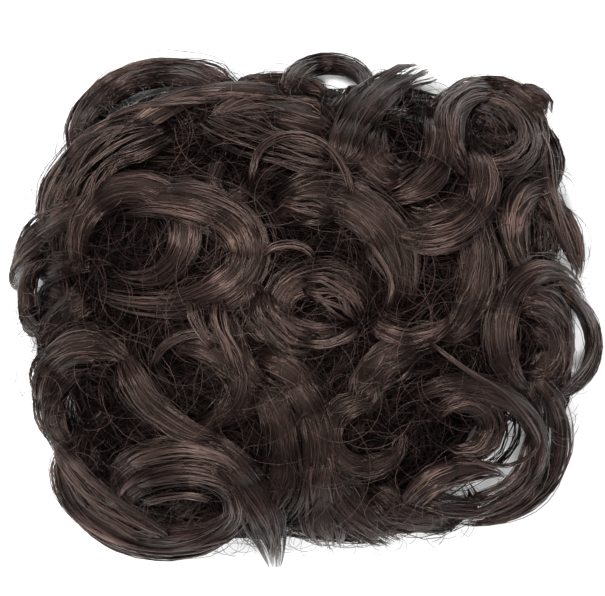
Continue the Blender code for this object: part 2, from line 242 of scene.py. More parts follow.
@dataclass(frozen=True)
class PackedFibreFinish:
    """Fibres packed inside a lock: fine dark streaks along it, with the odd lighter one, between its strands,
    and painted light that makes it lighter on top and at its crests.
    """

    name: str = "synthetic_hair_fibre_packed"
    streaks: tuple[tuple[float, str], ...] = (
        (0.34, "#040202"), (0.48, "#120b09"), (0.62, "#2a1e1b"), (0.78, "#4d3c37"))
    gloss_tint: str = "#d8bbaf"
    streaks_per_mm: float = 3.4
    streak_length_mm: float = 22.0
    # painted light: shifts the streaks up the ramp on the lit top and crests, down on the underside
    painted_light_shift: tuple[float, float] = (0.40, -0.24)
    relief: tuple[float, float] = (0.9, 0.0004)
    roughness: float = 0.48
    gloss: float = 0.28

    def build(self) -> bpy.types.Material:
        """Make the material; "wrap" is in millimetres round and along, the U of "strand" is the painted light
        and shade.
        """
        material, tree, shader = blank_material(self.name)
        wrap = add_node(tree, "ShaderNodeUVMap", {"uv_map": "wrap"})
        stretch = add_node(tree, "ShaderNodeMapping",
                           {"Scale": (self.streaks_per_mm, 1 / self.streak_length_mm, 1.0)},
                           {"Vector": wrap.outputs["UV"]})
        streak = add_node(tree, "ShaderNodeTexNoise",
                          {"noise_dimensions": "2D", "Scale": 1.0, "Detail": 3.0},
                          {"Vector": stretch.outputs["Vector"]})
        strand = add_node(tree, "ShaderNodeUVMap", {"uv_map": "strand"})
        split = add_node(tree, "ShaderNodeSeparateXYZ", links={0: strand.outputs["UV"]})
        # painted light: the U of the strand map lightens the top and crests and darkens the underside
        gain, drop = self.painted_light_shift
        lit = add_node(tree, "ShaderNodeMath", {"operation": "MULTIPLY_ADD", 1: gain, 2: drop},
                       {0: split.outputs["X"]})
        shade = add_node(tree, "ShaderNodeMath", {"operation": "ADD", "use_clamp": True},
                         {0: streak.outputs["Fac"], 1: lit.outputs[0]})
        colour_by(tree, shader, shade.outputs[0], self.streaks)
        raise_by(tree, shader, streak.outputs["Fac"], *self.relief)
        set_inputs(shader, {"Roughness": self.roughness, "Specular IOR Level": self.gloss,
                            "Specular Tint": to_linear(self.gloss_tint)})
        return material


@dataclass(frozen=True)
class WeftFinish:
    """Stitched wefts under the locks: rows of fibre ends, made near black as painted shade between the curls.
    """

    name: str = "hair_wefts_in_painted_shade"
    # painted shade: near black, far darker than the fibre's own brown
    dark: str = "#020101"
    light: str = "#0b0605"
    row_mm: float = 4.6

    def build(self) -> bpy.types.Material:
        """Make the material; the rows run round the crown."""
        material, tree, shader = blank_material(self.name)
        place = add_node(tree, "ShaderNodeTexCoord")
        rows = add_node(tree, "ShaderNodeTexWave",
                        {"wave_type": "RINGS", "rings_direction": "Z",
                         "Scale": 1000 / self.row_mm / math.pi, "Distortion": 3.0, "Detail Scale": 4.0},
                        {"Vector": place.outputs["Object"]})
        colour_by(tree, shader, rows.outputs["Fac"], ((0.35, self.dark), (0.75, self.light)))
        raise_by(tree, shader, rows.outputs["Fac"], 0.6, 0.0006)
        set_inputs(shader, {"Roughness": 0.90, "Specular IOR Level": 0.03})
        return material


@dataclass(frozen=True)
class NetClothFinish:
    """Knitted net cloth of the cap: a matt diamond mesh, with the hair showing darker through it."""

    name: str = "nylon_net_knitted"
    thread: str = "#2a2220"
    gap: str = "#070505"
    mesh_mm: float = 2.4

    def build(self) -> bpy.types.Material:
        """Make the material; two sets of bands cross at right angles."""
        material, tree, shader = blank_material(self.name)
        place = add_node(tree, "ShaderNodeTexCoord")
        turns = []
        for angle in (45, -45):
            turned = add_node(tree, "ShaderNodeMapping", {"Rotation": (0, 0, math.radians(angle))},
                              {"Vector": place.outputs["Object"]})
            turns.append(add_node(tree, "ShaderNodeTexWave",
                                  {"wave_type": "BANDS", "bands_direction": "X",
                                   "Scale": 1000 / self.mesh_mm / math.pi, "Distortion": 0.6,
                                   "Detail Scale": 1.5},
                                  {"Vector": turned.outputs["Vector"]}))
        threads = add_node(tree, "ShaderNodeMath", {"operation": "MAXIMUM"},
                           {0: turns[0].outputs["Fac"], 1: turns[1].outputs["Fac"]})
        colour_by(tree, shader, threads.outputs[0], ((0.55, self.gap), (0.80, self.thread)))
        raise_by(tree, shader, threads.outputs[0], 0.8, 0.0005)
        set_inputs(shader, {"Roughness": 0.85})
        return material


@dataclass(frozen=True)
class CombPlasticFinish:
    """Moulded black polycarbonate of the combs: satin, with a faint pebble from the mould."""

    name: str = "polycarbonate_moulded"
    colour: str = "#0e0c0c"
    edge: str = "#1d1a19"
    pebble_mm: float = 0.6

    def build(self) -> bpy.types.Material:
        """Make the material."""
        material, tree, shader = blank_material(self.name)
        place = add_node(tree, "ShaderNodeTexCoord")
        pebble = add_node(tree, "ShaderNodeTexNoise", {"Scale": 1000 / self.pebble_mm, "Detail": 2.0},
                          {"Vector": place.outputs["Object"]})
        colour_by(tree, shader, pebble.outputs["Fac"], ((0.40, self.colour), (0.75, self.edge)))
        raise_by(tree, shader, pebble.outputs["Fac"], 0.15, 0.0002)
        set_inputs(shader, {"Roughness": 0.32, "IOR": 1.58})
        return material


@dataclass(frozen=True)
class PaleFloorFinish:
    """Matt white studio paper."""

    name: str = "studio_paper_matt"
    colour: str = "#f7f7f7"

    def build(self) -> bpy.types.Material:
        """Make the material."""
        material, _, shader = blank_material(self.name)
        set_inputs(shader, {"Base Color": to_linear(self.colour), "Roughness": 0.95})
        return material


@dataclass(frozen=True)
class CrownForm:
    """The outer form of the bun, which every lock is laid on."""

    width: float = 0.200
    depth: float = 0.171
    height: float = 0.070
    corner: float = 2.8
    fullness: float = 2.6
    shoulder: float = 0.60
    steepest: float = 1.3
    layer: float = 0.0060
    lock_thickness: float = 0.0070

    def spread(self, x: np.ndarray, y: np.ndarray) -> np.ndarray:
        """How far out places lie on the ground plan: 0 at the middle, 1 at the edge."""
        return (np.abs(2 * x / self.width) ** self.corner
                + np.abs(2 * y / self.depth) ** self.corner) ** (1 / self.corner)

    def round_off(self, turn: np.ndarray) -> np.ndarray:
        """Reach of the edge in each direction, for a plan of half sizes one."""
        return (np.abs(np.cos(turn)) ** self.corner
                + np.abs(np.sin(turn)) ** self.corner) ** (-1 / self.corner)

    def hold(self, x: np.ndarray, y: np.ndarray, soft: float, play: float) -> tuple[np.ndarray, np.ndarray]:
        """Draw places that lie too far out softly back towards the edge.

        Args:
            x: Places across the bun.
            y: Places along the bun.
            soft: Share of the way out from which places are held.
            play: How much farther than that they may come at most.

        Returns:
            The places, drawn back.
        """
        out = np.maximum(1e-6, self.spread(x, y))
        share = np.where(out > soft, soft + play * np.tanh((out - soft) / play), out) / out
        return x * share, y * share

    def top(self, x: np.ndarray, y: np.ndarray) -> np.ndarray:
        """Height of the crown over places on the ground plan."""
        return self.height * (1 - np.minimum(1.0, self.spread(x, y)) ** self.fullness) ** self.shoulder

    def lay_on_crown(self, x: np.ndarray, y: np.ndarray,
                     depth: np.ndarray) -> tuple[np.ndarray, np.ndarray]:
        """Lay places of the ground plan on the crown.

        Args:
            x: Places across the bun.
            y: Places along the bun.
            depth: How far each lies under the crown.

        Returns:
            The places in space, and the way out of the crown at each.
        """
        step = 0.5 * self.lock_thickness
        slope_x = (self.top(x + step, y) - self.top(x - step, y)) / (2 * step)
        slope_y = (self.top(x, y + step) - self.top(x, y - step)) / (2 * step)
        steep = np.maximum(1.0, np.hypot(slope_x, slope_y) / self.steepest)
        out = np.stack([-slope_x / steep, -slope_y / steep, np.ones_like(x)], axis=-1)
        places = np.stack([x, y, self.top(x, y) - depth], axis=-1)
        return places, unit(out)

    def lay_on_side(self, direction: float, x: np.ndarray, y: np.ndarray,
                    depth: np.ndarray) -> tuple[np.ndarray, np.ndarray]:
        """Lay places on the side of the bun.

        Args:
            direction: Where on the side the curl's middle lies, in radians from +X towards +Y.
            x: Places sideways from that.
            y: Heights above the ground.
            depth: How far each lies inside the side.

        Returns:
            The places in space, and the way out of the side at each.
        """
        turn = direction + x / (0.25 * (self.width + self.depth))
        height = np.clip(y, 0.5 * self.lock_thickness, 0.98 * self.height)
        spread = (1 - (height / self.height) ** (1 / self.shoulder)) ** (1 / self.fullness)
        reach = spread * self.round_off(turn)
        out = np.stack([np.cos(turn), np.sin(turn), np.zeros_like(turn)], axis=-1)
        foot = np.stack([0.5 * self.width * reach * out[..., 0], 0.5 * self.depth * reach * out[..., 1],
                         height], axis=-1)
        lean = out + np.stack([0 * turn, 0 * turn, height / self.height], axis=-1)
        return foot - out * depth[..., None], unit(lean)


def smooth(run: np.ndarray, reach: int) -> np.ndarray:
    """Average a run of vectors over the neighbours of each.

    Args:
        run: The vectors, one a row.
        reach: How many neighbours count on each side.

    Returns:
        The averaged vectors.
    """
    padded = np.concatenate([np.repeat(run[:1], reach, axis=0), run, np.repeat(run[-1:], reach, axis=0)])
    return sum(padded[k:k + len(run)] for k in range(2 * reach + 1)) / (2 * reach + 1)


def unit(vectors: np.ndarray) -> np.ndarray:
    """Scale vectors to a length of one."""
    return vectors / np.maximum(1e-12, np.linalg.norm(vectors, axis=-1, keepdims=True))


def square_up(places: np.ndarray, up: np.ndarray, axis: int = 0) -> tuple[np.ndarray, np.ndarray]:
    """Turn rough directions up into square frames along runs of places.

    Args:
        places: The places.
        up: A rough direction up at each.
        axis: The axis of the array that runs along.

    Returns:
        The directions across and up at each place.
    """
    ahead = np.gradient(places, axis=axis)
    across = unit(np.cross(up, ahead))
    return across, unit(np.cross(ahead, across))


def run_length(places: np.ndarray) -> float:
    """Length of a run of places."""
    return float(np.linalg.norm(np.diff(places, axis=0), axis=1).sum())


@dataclass(frozen=True)
class Curl:
    """One curl, as its row of the table states it."""

    name: str
    centre_x: float
    centre_y: float
    start: float
    sweep: float
    first: float
    last: float
    oval: float
    width: float
    sink: float
    end_sink: float
    lay: Lay = Lay.CROWN
    tone: Tone = Tone.COOL
    tip: float = 0.30


@dataclass
class Course:
    """The course of a lock in space: places, frames and half sizes at even steps of its length.

    Swell says how far the lock stands proud of its lay there, from -1 to 1.
    """

    middle: np.ndarray
    across: np.ndarray
    up: np.ndarray
    side: np.ndarray
    rise: np.ndarray
    length: float
    swell: np.ndarray

    def at(self, t: np.ndarray) -> tuple[np.ndarray, ...]:
        """Read the course at any shares of its length.

        Args:
            t: Shares of the length, from 0 at the root to 1 at the tip.

        Returns:
            Places, directions across, directions up, half widths and half thicknesses.
        """
        steps = np.linspace(0, 1, len(self.side))
        read = [np.stack([np.interp(t, steps, run[:, k]) for k in range(3)], axis=-1)
                for run in (self.middle, self.across, self.up)]
        return (*read, np.interp(t, steps, self.side), np.interp(t, steps, self.rise))


@dataclass(frozen=True)
class Winder:
    """Winds straight hanks of fibre round curls."""

    crown: CrownForm
    curl_radius: float = 0.015
    lock_width: float = 0.014
    root_fullness: float = 0.50
    swell: float = 0.0016
    swell_length: float = 0.030
    root_dive: float = 2.1
    root_dive_length: float = 0.20
    tip_dive: float = 0.7
    tip_dive_length: float = 0.14
    root_filling: float = 2.5
    tip_filling: float = 2.2
    held_inside: tuple[float, float] = (0.76, 0.14)
    swell_waves: tuple[tuple[float, float], ...] = ((0.7, 1.0), (0.3, 2.3))
    trail_dives: tuple[float, float] = (1.4, 0.8)
    trail_dive_length: float = 0.15
    trail_fullness: tuple[float, float] = (0.5, 3.0)
    trail_least_height: float = 0.0015
    course_steps: int = 97
    frame_reach: int = 8

    def course(self, curl: Curl, held: bool = False) -> Course:
        """Work out where a curl's lock runs.

        Args:
            curl: The curl.
            held: Whether the lock is kept well inside the bun's edge.

        Returns:
            The lock's course, on the crown or on the side.
        """
        t = np.linspace(0, 1, self.course_steps)
        turn = np.radians(curl.start + curl.sweep * t)
        radius = self.curl_radius * (curl.first + (curl.last - curl.first) * t)
        x, y = radius * np.cos(turn), curl.oval * radius * np.sin(turn)
        root = np.maximum(0, 1 - t / self.root_dive_length)
        tip = np.maximum(0, 1 - (1 - t) / self.tip_dive_length)
        sink = (curl.sink + (curl.end_sink - curl.sink) * t + self.root_dive * root ** 2
                + self.tip_dive * tip ** 2)
        depth = self.crown.layer * sink + 0.5 * self.crown.lock_thickness
        if curl.lay is Lay.CROWN:
            x, y = x + 0.5 * self.crown.width * curl.centre_x, y + 0.5 * self.crown.depth * curl.centre_y
            if held:
                x, y = self.crown.hold(x, y, *self.held_inside)
            middle, up = self.crown.lay_on_crown(x, y, depth)
        else:
            middle, up = self.crown.lay_on_side(math.radians(curl.centre_x), x,
                                                y + self.crown.height * curl.centre_y, depth)
        full = np.minimum(1, np.minimum(self.root_fullness + self.root_filling * t,
                                        curl.tip + self.tip_filling * (1 - t)))
        length = run_length(middle)
        swell = self.swelling(curl.name, length * t)
        middle[:, 2] += self.swell * swell
        across, up = square_up(middle, smooth(up, self.frame_reach))
        side = 0.5 * curl.width * self.lock_width * full
        rise = 0.5 * self.crown.lock_thickness * np.sqrt(full)
        low = middle[:, 2] - np.hypot(side * across[:, 2], rise * up[:, 2])
        middle[:, 2] += np.maximum(0, -low)
        return Course(middle, across, up, side, rise, length, swell)

    def swelling(self, name: str, along: np.ndarray) -> np.ndarray:
        """How a lock rises and falls along its length, from -1 to 1.

        Args:
            name: The lock's name, which sets where its crests lie.
            along: Distances along the lock.

        Returns:
            The rise at each.
        """
        phase = zlib.crc32(name.encode()) % 628 / 100
        turn = 2 * np.pi * along / self.swell_length
        (broad, rate), (narrow, quicker) = self.swell_waves
        return broad * np.sin(rate * turn + phase) + narrow * np.sin(quicker * turn + 2 * phase)

    def trail(self, points: tuple[tuple[float, float], ...], half_width_mm: float, sink: float) -> Course:
        """Work out where a loose trail of hair runs over the crown.

        Args:
            points: Places on the ground plan that it passes over, in millimetres.
            half_width_mm: Half the width of the trail.
            sink: Its depth under the crown, in layers.

        Returns:
            The trail's course.
        """
        knots = 0.001 * np.array([points[0], *points, points[-1]])
        t = np.linspace(0, 1, self.course_steps)
        spot = t * (len(points) - 1)
        leg = np.minimum(spot.astype(int), len(points) - 2)
        f = (spot - leg)[:, None]
        p0, p1, p2, p3 = (knots[leg + k] for k in range(4))
        plan = 0.5 * (2 * p1 + (p2 - p0) * f + (2 * p0 - 5 * p1 + 4 * p2 - p3) * f ** 2
                      + (3 * p1 - p0 - 3 * p2 + p3) * f ** 3)
        root, tip = (np.maximum(0, 1 - near / self.trail_dive_length) ** 2 for near in (t, 1 - t))
        dive = self.trail_dives[0] * root + self.trail_dives[1] * tip
        middle, up = self.crown.lay_on_crown(plan[:, 0], plan[:, 1], self.crown.layer * (sink + dive))
        across, up = square_up(middle, up)
        least, growth = self.trail_fullness
        side = 0.001 * half_width_mm * np.minimum(1, least + growth * t * (1 - t))
        middle[:, 2] = np.maximum(middle[:, 2], self.trail_least_height)
        return Course(middle, across, up, side, 0.5 * side, run_length(middle), 0 * t)


def link_object(name: str, data: bpy.types.ID) -> bpy.types.Object:
    """Put an object in the scene, at the origin.

    Args:
        name: Its name.
        data: Its mesh, light or camera.

    Returns:
        The new object.
    """
    item = bpy.data.objects.new(name, data)
    bpy.context.scene.collection.objects.link(item)
    return item


def grow_ring(bm: bmesh.types.BMesh, edges: list[bmesh.types.BMEdge]) -> tuple[set, list]:
    """Extrude a ring of edges, in place.

    Args:
        bm: The mesh.
        edges: The ring's edges.

    Returns:
        The new ring's vertices and edges.
    """
    grown = bmesh.ops.extrude_edge_only(bm, edges=edges)["geom"]
    fresh = {item for item in grown if isinstance(item, bmesh.types.BMVert)}
    return fresh, [item for item in grown if isinstance(item, bmesh.types.BMEdge)
                   and item.verts[0] in fresh and item.verts[1] in fresh]


@dataclass(frozen=True)
class Hank:
    """A straight hank: many copies of one closed strand, made by extruding a small ring."""

    strands: int
    stations: int
    sides: int = 3
    held_inside: tuple[float, float] = (0.82, 0.09)
    least_height: float = 0.0001

    def straight_mesh(self, name: str) -> bpy.types.Mesh:
        """Make the hank with its strands side by side along X and their length along Z.

        Args:
            name: The mesh's name.

        Returns:
            The mesh; strand, station and corner of a vertex are read back from its place.
        """
        bm = bmesh.new()
        bmesh.ops.create_circle(bm, cap_ends=True, segments=self.sides, radius=0.25)
        edges = list(bm.edges)
        for _ in range(self.stations - 1):
            fresh, edges = grow_ring(bm, edges)
            bmesh.ops.translate(bm, vec=(0, 0, 1), verts=list(fresh))
        bmesh.ops.contextual_create(bm, geom=edges)
        bmesh.ops.recalc_face_normals(bm, faces=bm.faces)
        if bm.calc_volume(signed=True) < 0:
            bmesh.ops.reverse_faces(bm, faces=bm.faces)
        strand = bpy.data.meshes.new(name + "_strand")
        bm.to_mesh(strand)
        bm.free()
        carrier = link_object(name + "_strand", strand)
        array = carrier.modifiers.new("side_by_side", "ARRAY")
        array.use_relative_offset = False
        array.use_constant_offset = True
        array.constant_offset_displace = (1, 0, 0)
        array.count = self.strands
        mesh = bpy.data.meshes.new_from_object(
            carrier.evaluated_get(bpy.context.evaluated_depsgraph_get()))
        mesh.name = name
        bpy.data.objects.remove(carrier, do_unlink=True)
        bpy.data.meshes.remove(strand)
        return mesh

    def read(self, mesh: bpy.types.Mesh) -> tuple[np.ndarray, np.ndarray, np.ndarray]:
        """Read a straight hank: which strand, station and corner each vertex belongs to.

        Args:
            mesh: The straight hank.

        Returns:
            Numbers of the strands and stations, and angles of the corners.
        """
        flat = np.empty(len(mesh.vertices) * 3, np.float32)
        mesh.vertices.foreach_get("co", flat)
        flat = flat.reshape(-1, 3)
        strand = np.rint(flat[:, 0]).astype(int)
        station = np.rint(flat[:, 2]).astype(int)
        return strand, station, np.arctan2(flat[:, 1], flat[:, 0] - strand)

    def bend(self, mesh: bpy.types.Mesh, places: np.ndarray, shade: np.ndarray, along: np.ndarray) -> None:
        """Move the hank's vertices to their places and write the strand map.

        Args:
            mesh: The straight hank.
            places: Place of each vertex.
            shade: Place of each vertex on the shade ramp.
            along: Share of the strand's length at each vertex.
        """
        places[:, 2] = np.maximum(places[:, 2], self.least_height)
        mesh.vertices.foreach_set("co", places.astype(np.float32).ravel())
        loops = np.empty(len(mesh.loops), np.int32)
        mesh.loops.foreach_get("vertex_index", loops)
        layer = mesh.uv_layers.get("strand") or mesh.uv_layers.new(name="strand")
        layer.uv.foreach_set("vector", np.stack([shade, along], axis=-1)[loops].astype(np.float32).ravel())
        mesh.shade_smooth()
        mesh.update()

    def wind(self, name: str, course: Course, a: np.ndarray, b: np.ndarray, t: np.ndarray,
             thick: np.ndarray, shade: np.ndarray, roll: np.ndarray,
             crown: CrownForm | None = None) -> bpy.types.Mesh:
        """Wind the hank round a course.

        Args:
            name: The mesh's name.
            course: The lock's course.
            a: Place of each strand across the lock at each station, in half widths.
            b: Place of each strand through the lock at each station, in half thicknesses.
            t: Share of the lock's length at each station of each strand.
            thick: Strand's half thickness at each station.
            shade: Place of each strand on the shade ramp at each station.
            roll: Angle by which each strand's section is turned.
            crown: The form whose edge the strands are kept inside, if any.

        Returns:
            The wound mesh, with its strand map.
        """
        mesh = self.straight_mesh(name)
        strand, station, corner = self.read(mesh)
        share = t[strand, station]
        middle, across, up, side, rise = course.at(share)
        place = (middle + across * (side * a[strand, station])[:, None]
                 + up * (rise * b[strand, station])[:, None])
        if crown is not None:
            place[:, 0], place[:, 1] = crown.hold(place[:, 0], place[:, 1], *self.held_inside)
        angle = corner + roll[strand]
        spoke = across * np.cos(angle)[:, None] + up * np.sin(angle)[:, None]
        self.bend(mesh, place + spoke * thick[strand, station][:, None], shade[strand, station], share)
        return mesh

    def fill(self, name: str, course: Course, t: np.ndarray, full: np.ndarray) -> bpy.types.Mesh:
        """Press the hank, of one strand, into the lock's oval section.

        Args:
            name: The mesh's name.
            course: The lock's course.
            t: Share of the lock's length at each station.
            full: Size of the section at each station, as a share of the lock's.

        Returns:
            The filling mesh.
        """
        mesh = self.straight_mesh(name)
        _, station, corner = self.read(mesh)
        middle, across, up, side, rise = course.at(t[station])
        place = (middle + across * (side * full[station] * np.cos(corner))[:, None]
                 + up * (rise * full[station] * np.sin(corner))[:, None])
        swell = np.interp(t, np.linspace(0, 1, len(course.swell)), course.swell)
        # painted light: the heart is lighter on its upper side and where the lock swells up, darker
        # underneath
        lit = (0.5 + 0.3 * swell[station]) * (0.55 + 0.45 * np.sin(corner))
        self.bend(mesh, place, np.clip(lit, 0.01, 0.99), t[station])
        loops = np.empty(len(mesh.loops), np.int32)
        mesh.loops.foreach_get("vertex_index", loops)
        round_mm = 1000 * np.pi * float(side.mean()) * ((corner + 0.5 * np.pi) % (2 * np.pi)) / np.pi
        wrap = np.stack([round_mm, 1000 * course.length * t[station]], axis=-1)[loops]
        mesh.uv_layers.new(name="wrap").uv.foreach_set("vector", wrap.astype(np.float32).ravel())
        return mesh


def add_piece(mesh: bpy.types.Mesh, materials: tuple[bpy.types.Material, ...]) -> bpy.types.Object:
    """Put a finished mesh in the scene as a piece of the hairpiece.

    Args:
        mesh: The mesh, in its place.
        materials: Its finishes, by the faces' material numbers.

    Returns:
        The new object.
    """
    for material in materials:
        mesh.materials.append(material)
    piece = link_object(mesh.name, mesh)
    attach(piece, BODY)
    log.info("%s: %d triangles", piece.name, sum(len(face.vertices) - 2 for face in mesh.polygons))
    return piece


def join_meshes(name: str, meshes: list[bpy.types.Mesh]) -> bpy.types.Mesh:
    """Join meshes into one, whose faces take the number of their mesh as material number.

    Args:
        name: The joined mesh's name.
        meshes: The meshes, which are used up.

    Returns:
        The joined mesh.
    """
    bm = bmesh.new()
    for number, mesh in enumerate(meshes):
        mesh.polygons.foreach_set("material_index", np.full(len(mesh.polygons), number, np.int32))
        bm.from_mesh(mesh)
        bpy.data.meshes.remove(mesh)
    joined = bpy.data.meshes.new(name)
    bm.to_mesh(joined)
    bm.free()
    joined.shade_smooth()
    return joined


@dataclass(frozen=True)
class StrandHabit:
    """How the strands of a lock lie, in half widths across it and half thicknesses through it.

    Most pairs give the least and the most. Clump rise is a mean and its spread. Late starts and early ends
    give the most, as a share of the length, and the share of strands that have it. Gather is the pull towards
    the clump's middle at the root, and how much is added towards the tip. Each drift is across and through.
    """

    upturned: float = 0.80
    shell: tuple[float, float] = (0.62, 1.0)
    clump_reach: float = 0.85
    clump_jitter: float = 0.06
    clump_rise: tuple[float, float] = (0.25, 0.35)
    late_starts: tuple[float, float] = (0.07, 0.6)
    early_ends: tuple[float, float] = (0.20, 0.8)
    gather: tuple[float, float] = (0.28, 0.57)
    gather_through: float = 0.6
    clump_drift: tuple[float, float] = (0.10, 0.16)
    clump_waves: tuple[float, float] = (0.6, 1.8)
    own_drift: tuple[float, float] = (0.040, 0.07)
    own_waves: tuple[float, float] = (1.0, 2.6)
    stray_share: float = 0.14
    stray_width: tuple[float, float] = (0.15, 0.60)
    stray_waves: tuple[float, float] = (0.4, 1.4)
    stray_reach: float = 0.0060
    stray_thinness: float = 0.7
    thickness: tuple[float, float] = (0.65, 1.25)
    stray_taming: float = 1.4
    stray_lift: float = 0.5
    end_thickness: float = 0.25
    end_growth: float = 9.0
    root_start: float = 0.02
    taper: tuple[float, float] = (0.6, 2.2)


@dataclass(frozen=True)
class PaintedLightHabit:
    """Painted light on a strand: painted shade underneath, at the lock's edges and deep in the bun, and
    painted highlight on the crests of its swells, with painted shade in their hollows.
    """

    clump_share: float = 0.62
    underneath: float = 0.36
    climb: float = 0.9
    edge_start: float = 0.70
    edge_loss: float = 0.45
    deep_start: float = 1.10
    deep_loss: float = 0.30
    deep_least: float = 0.34
    swell_mean: float = 0.86
    swell_gain: float = 0.36


# The wisps under a lock: growth of the radius in curl radii, further sink in layers, width, turn in degrees.
WISPS = ((-0.34, 0.9, 1.1, -25), (-0.64, 1.5, 1.2, -70), (0.36, 1.3, 1.5, 20))


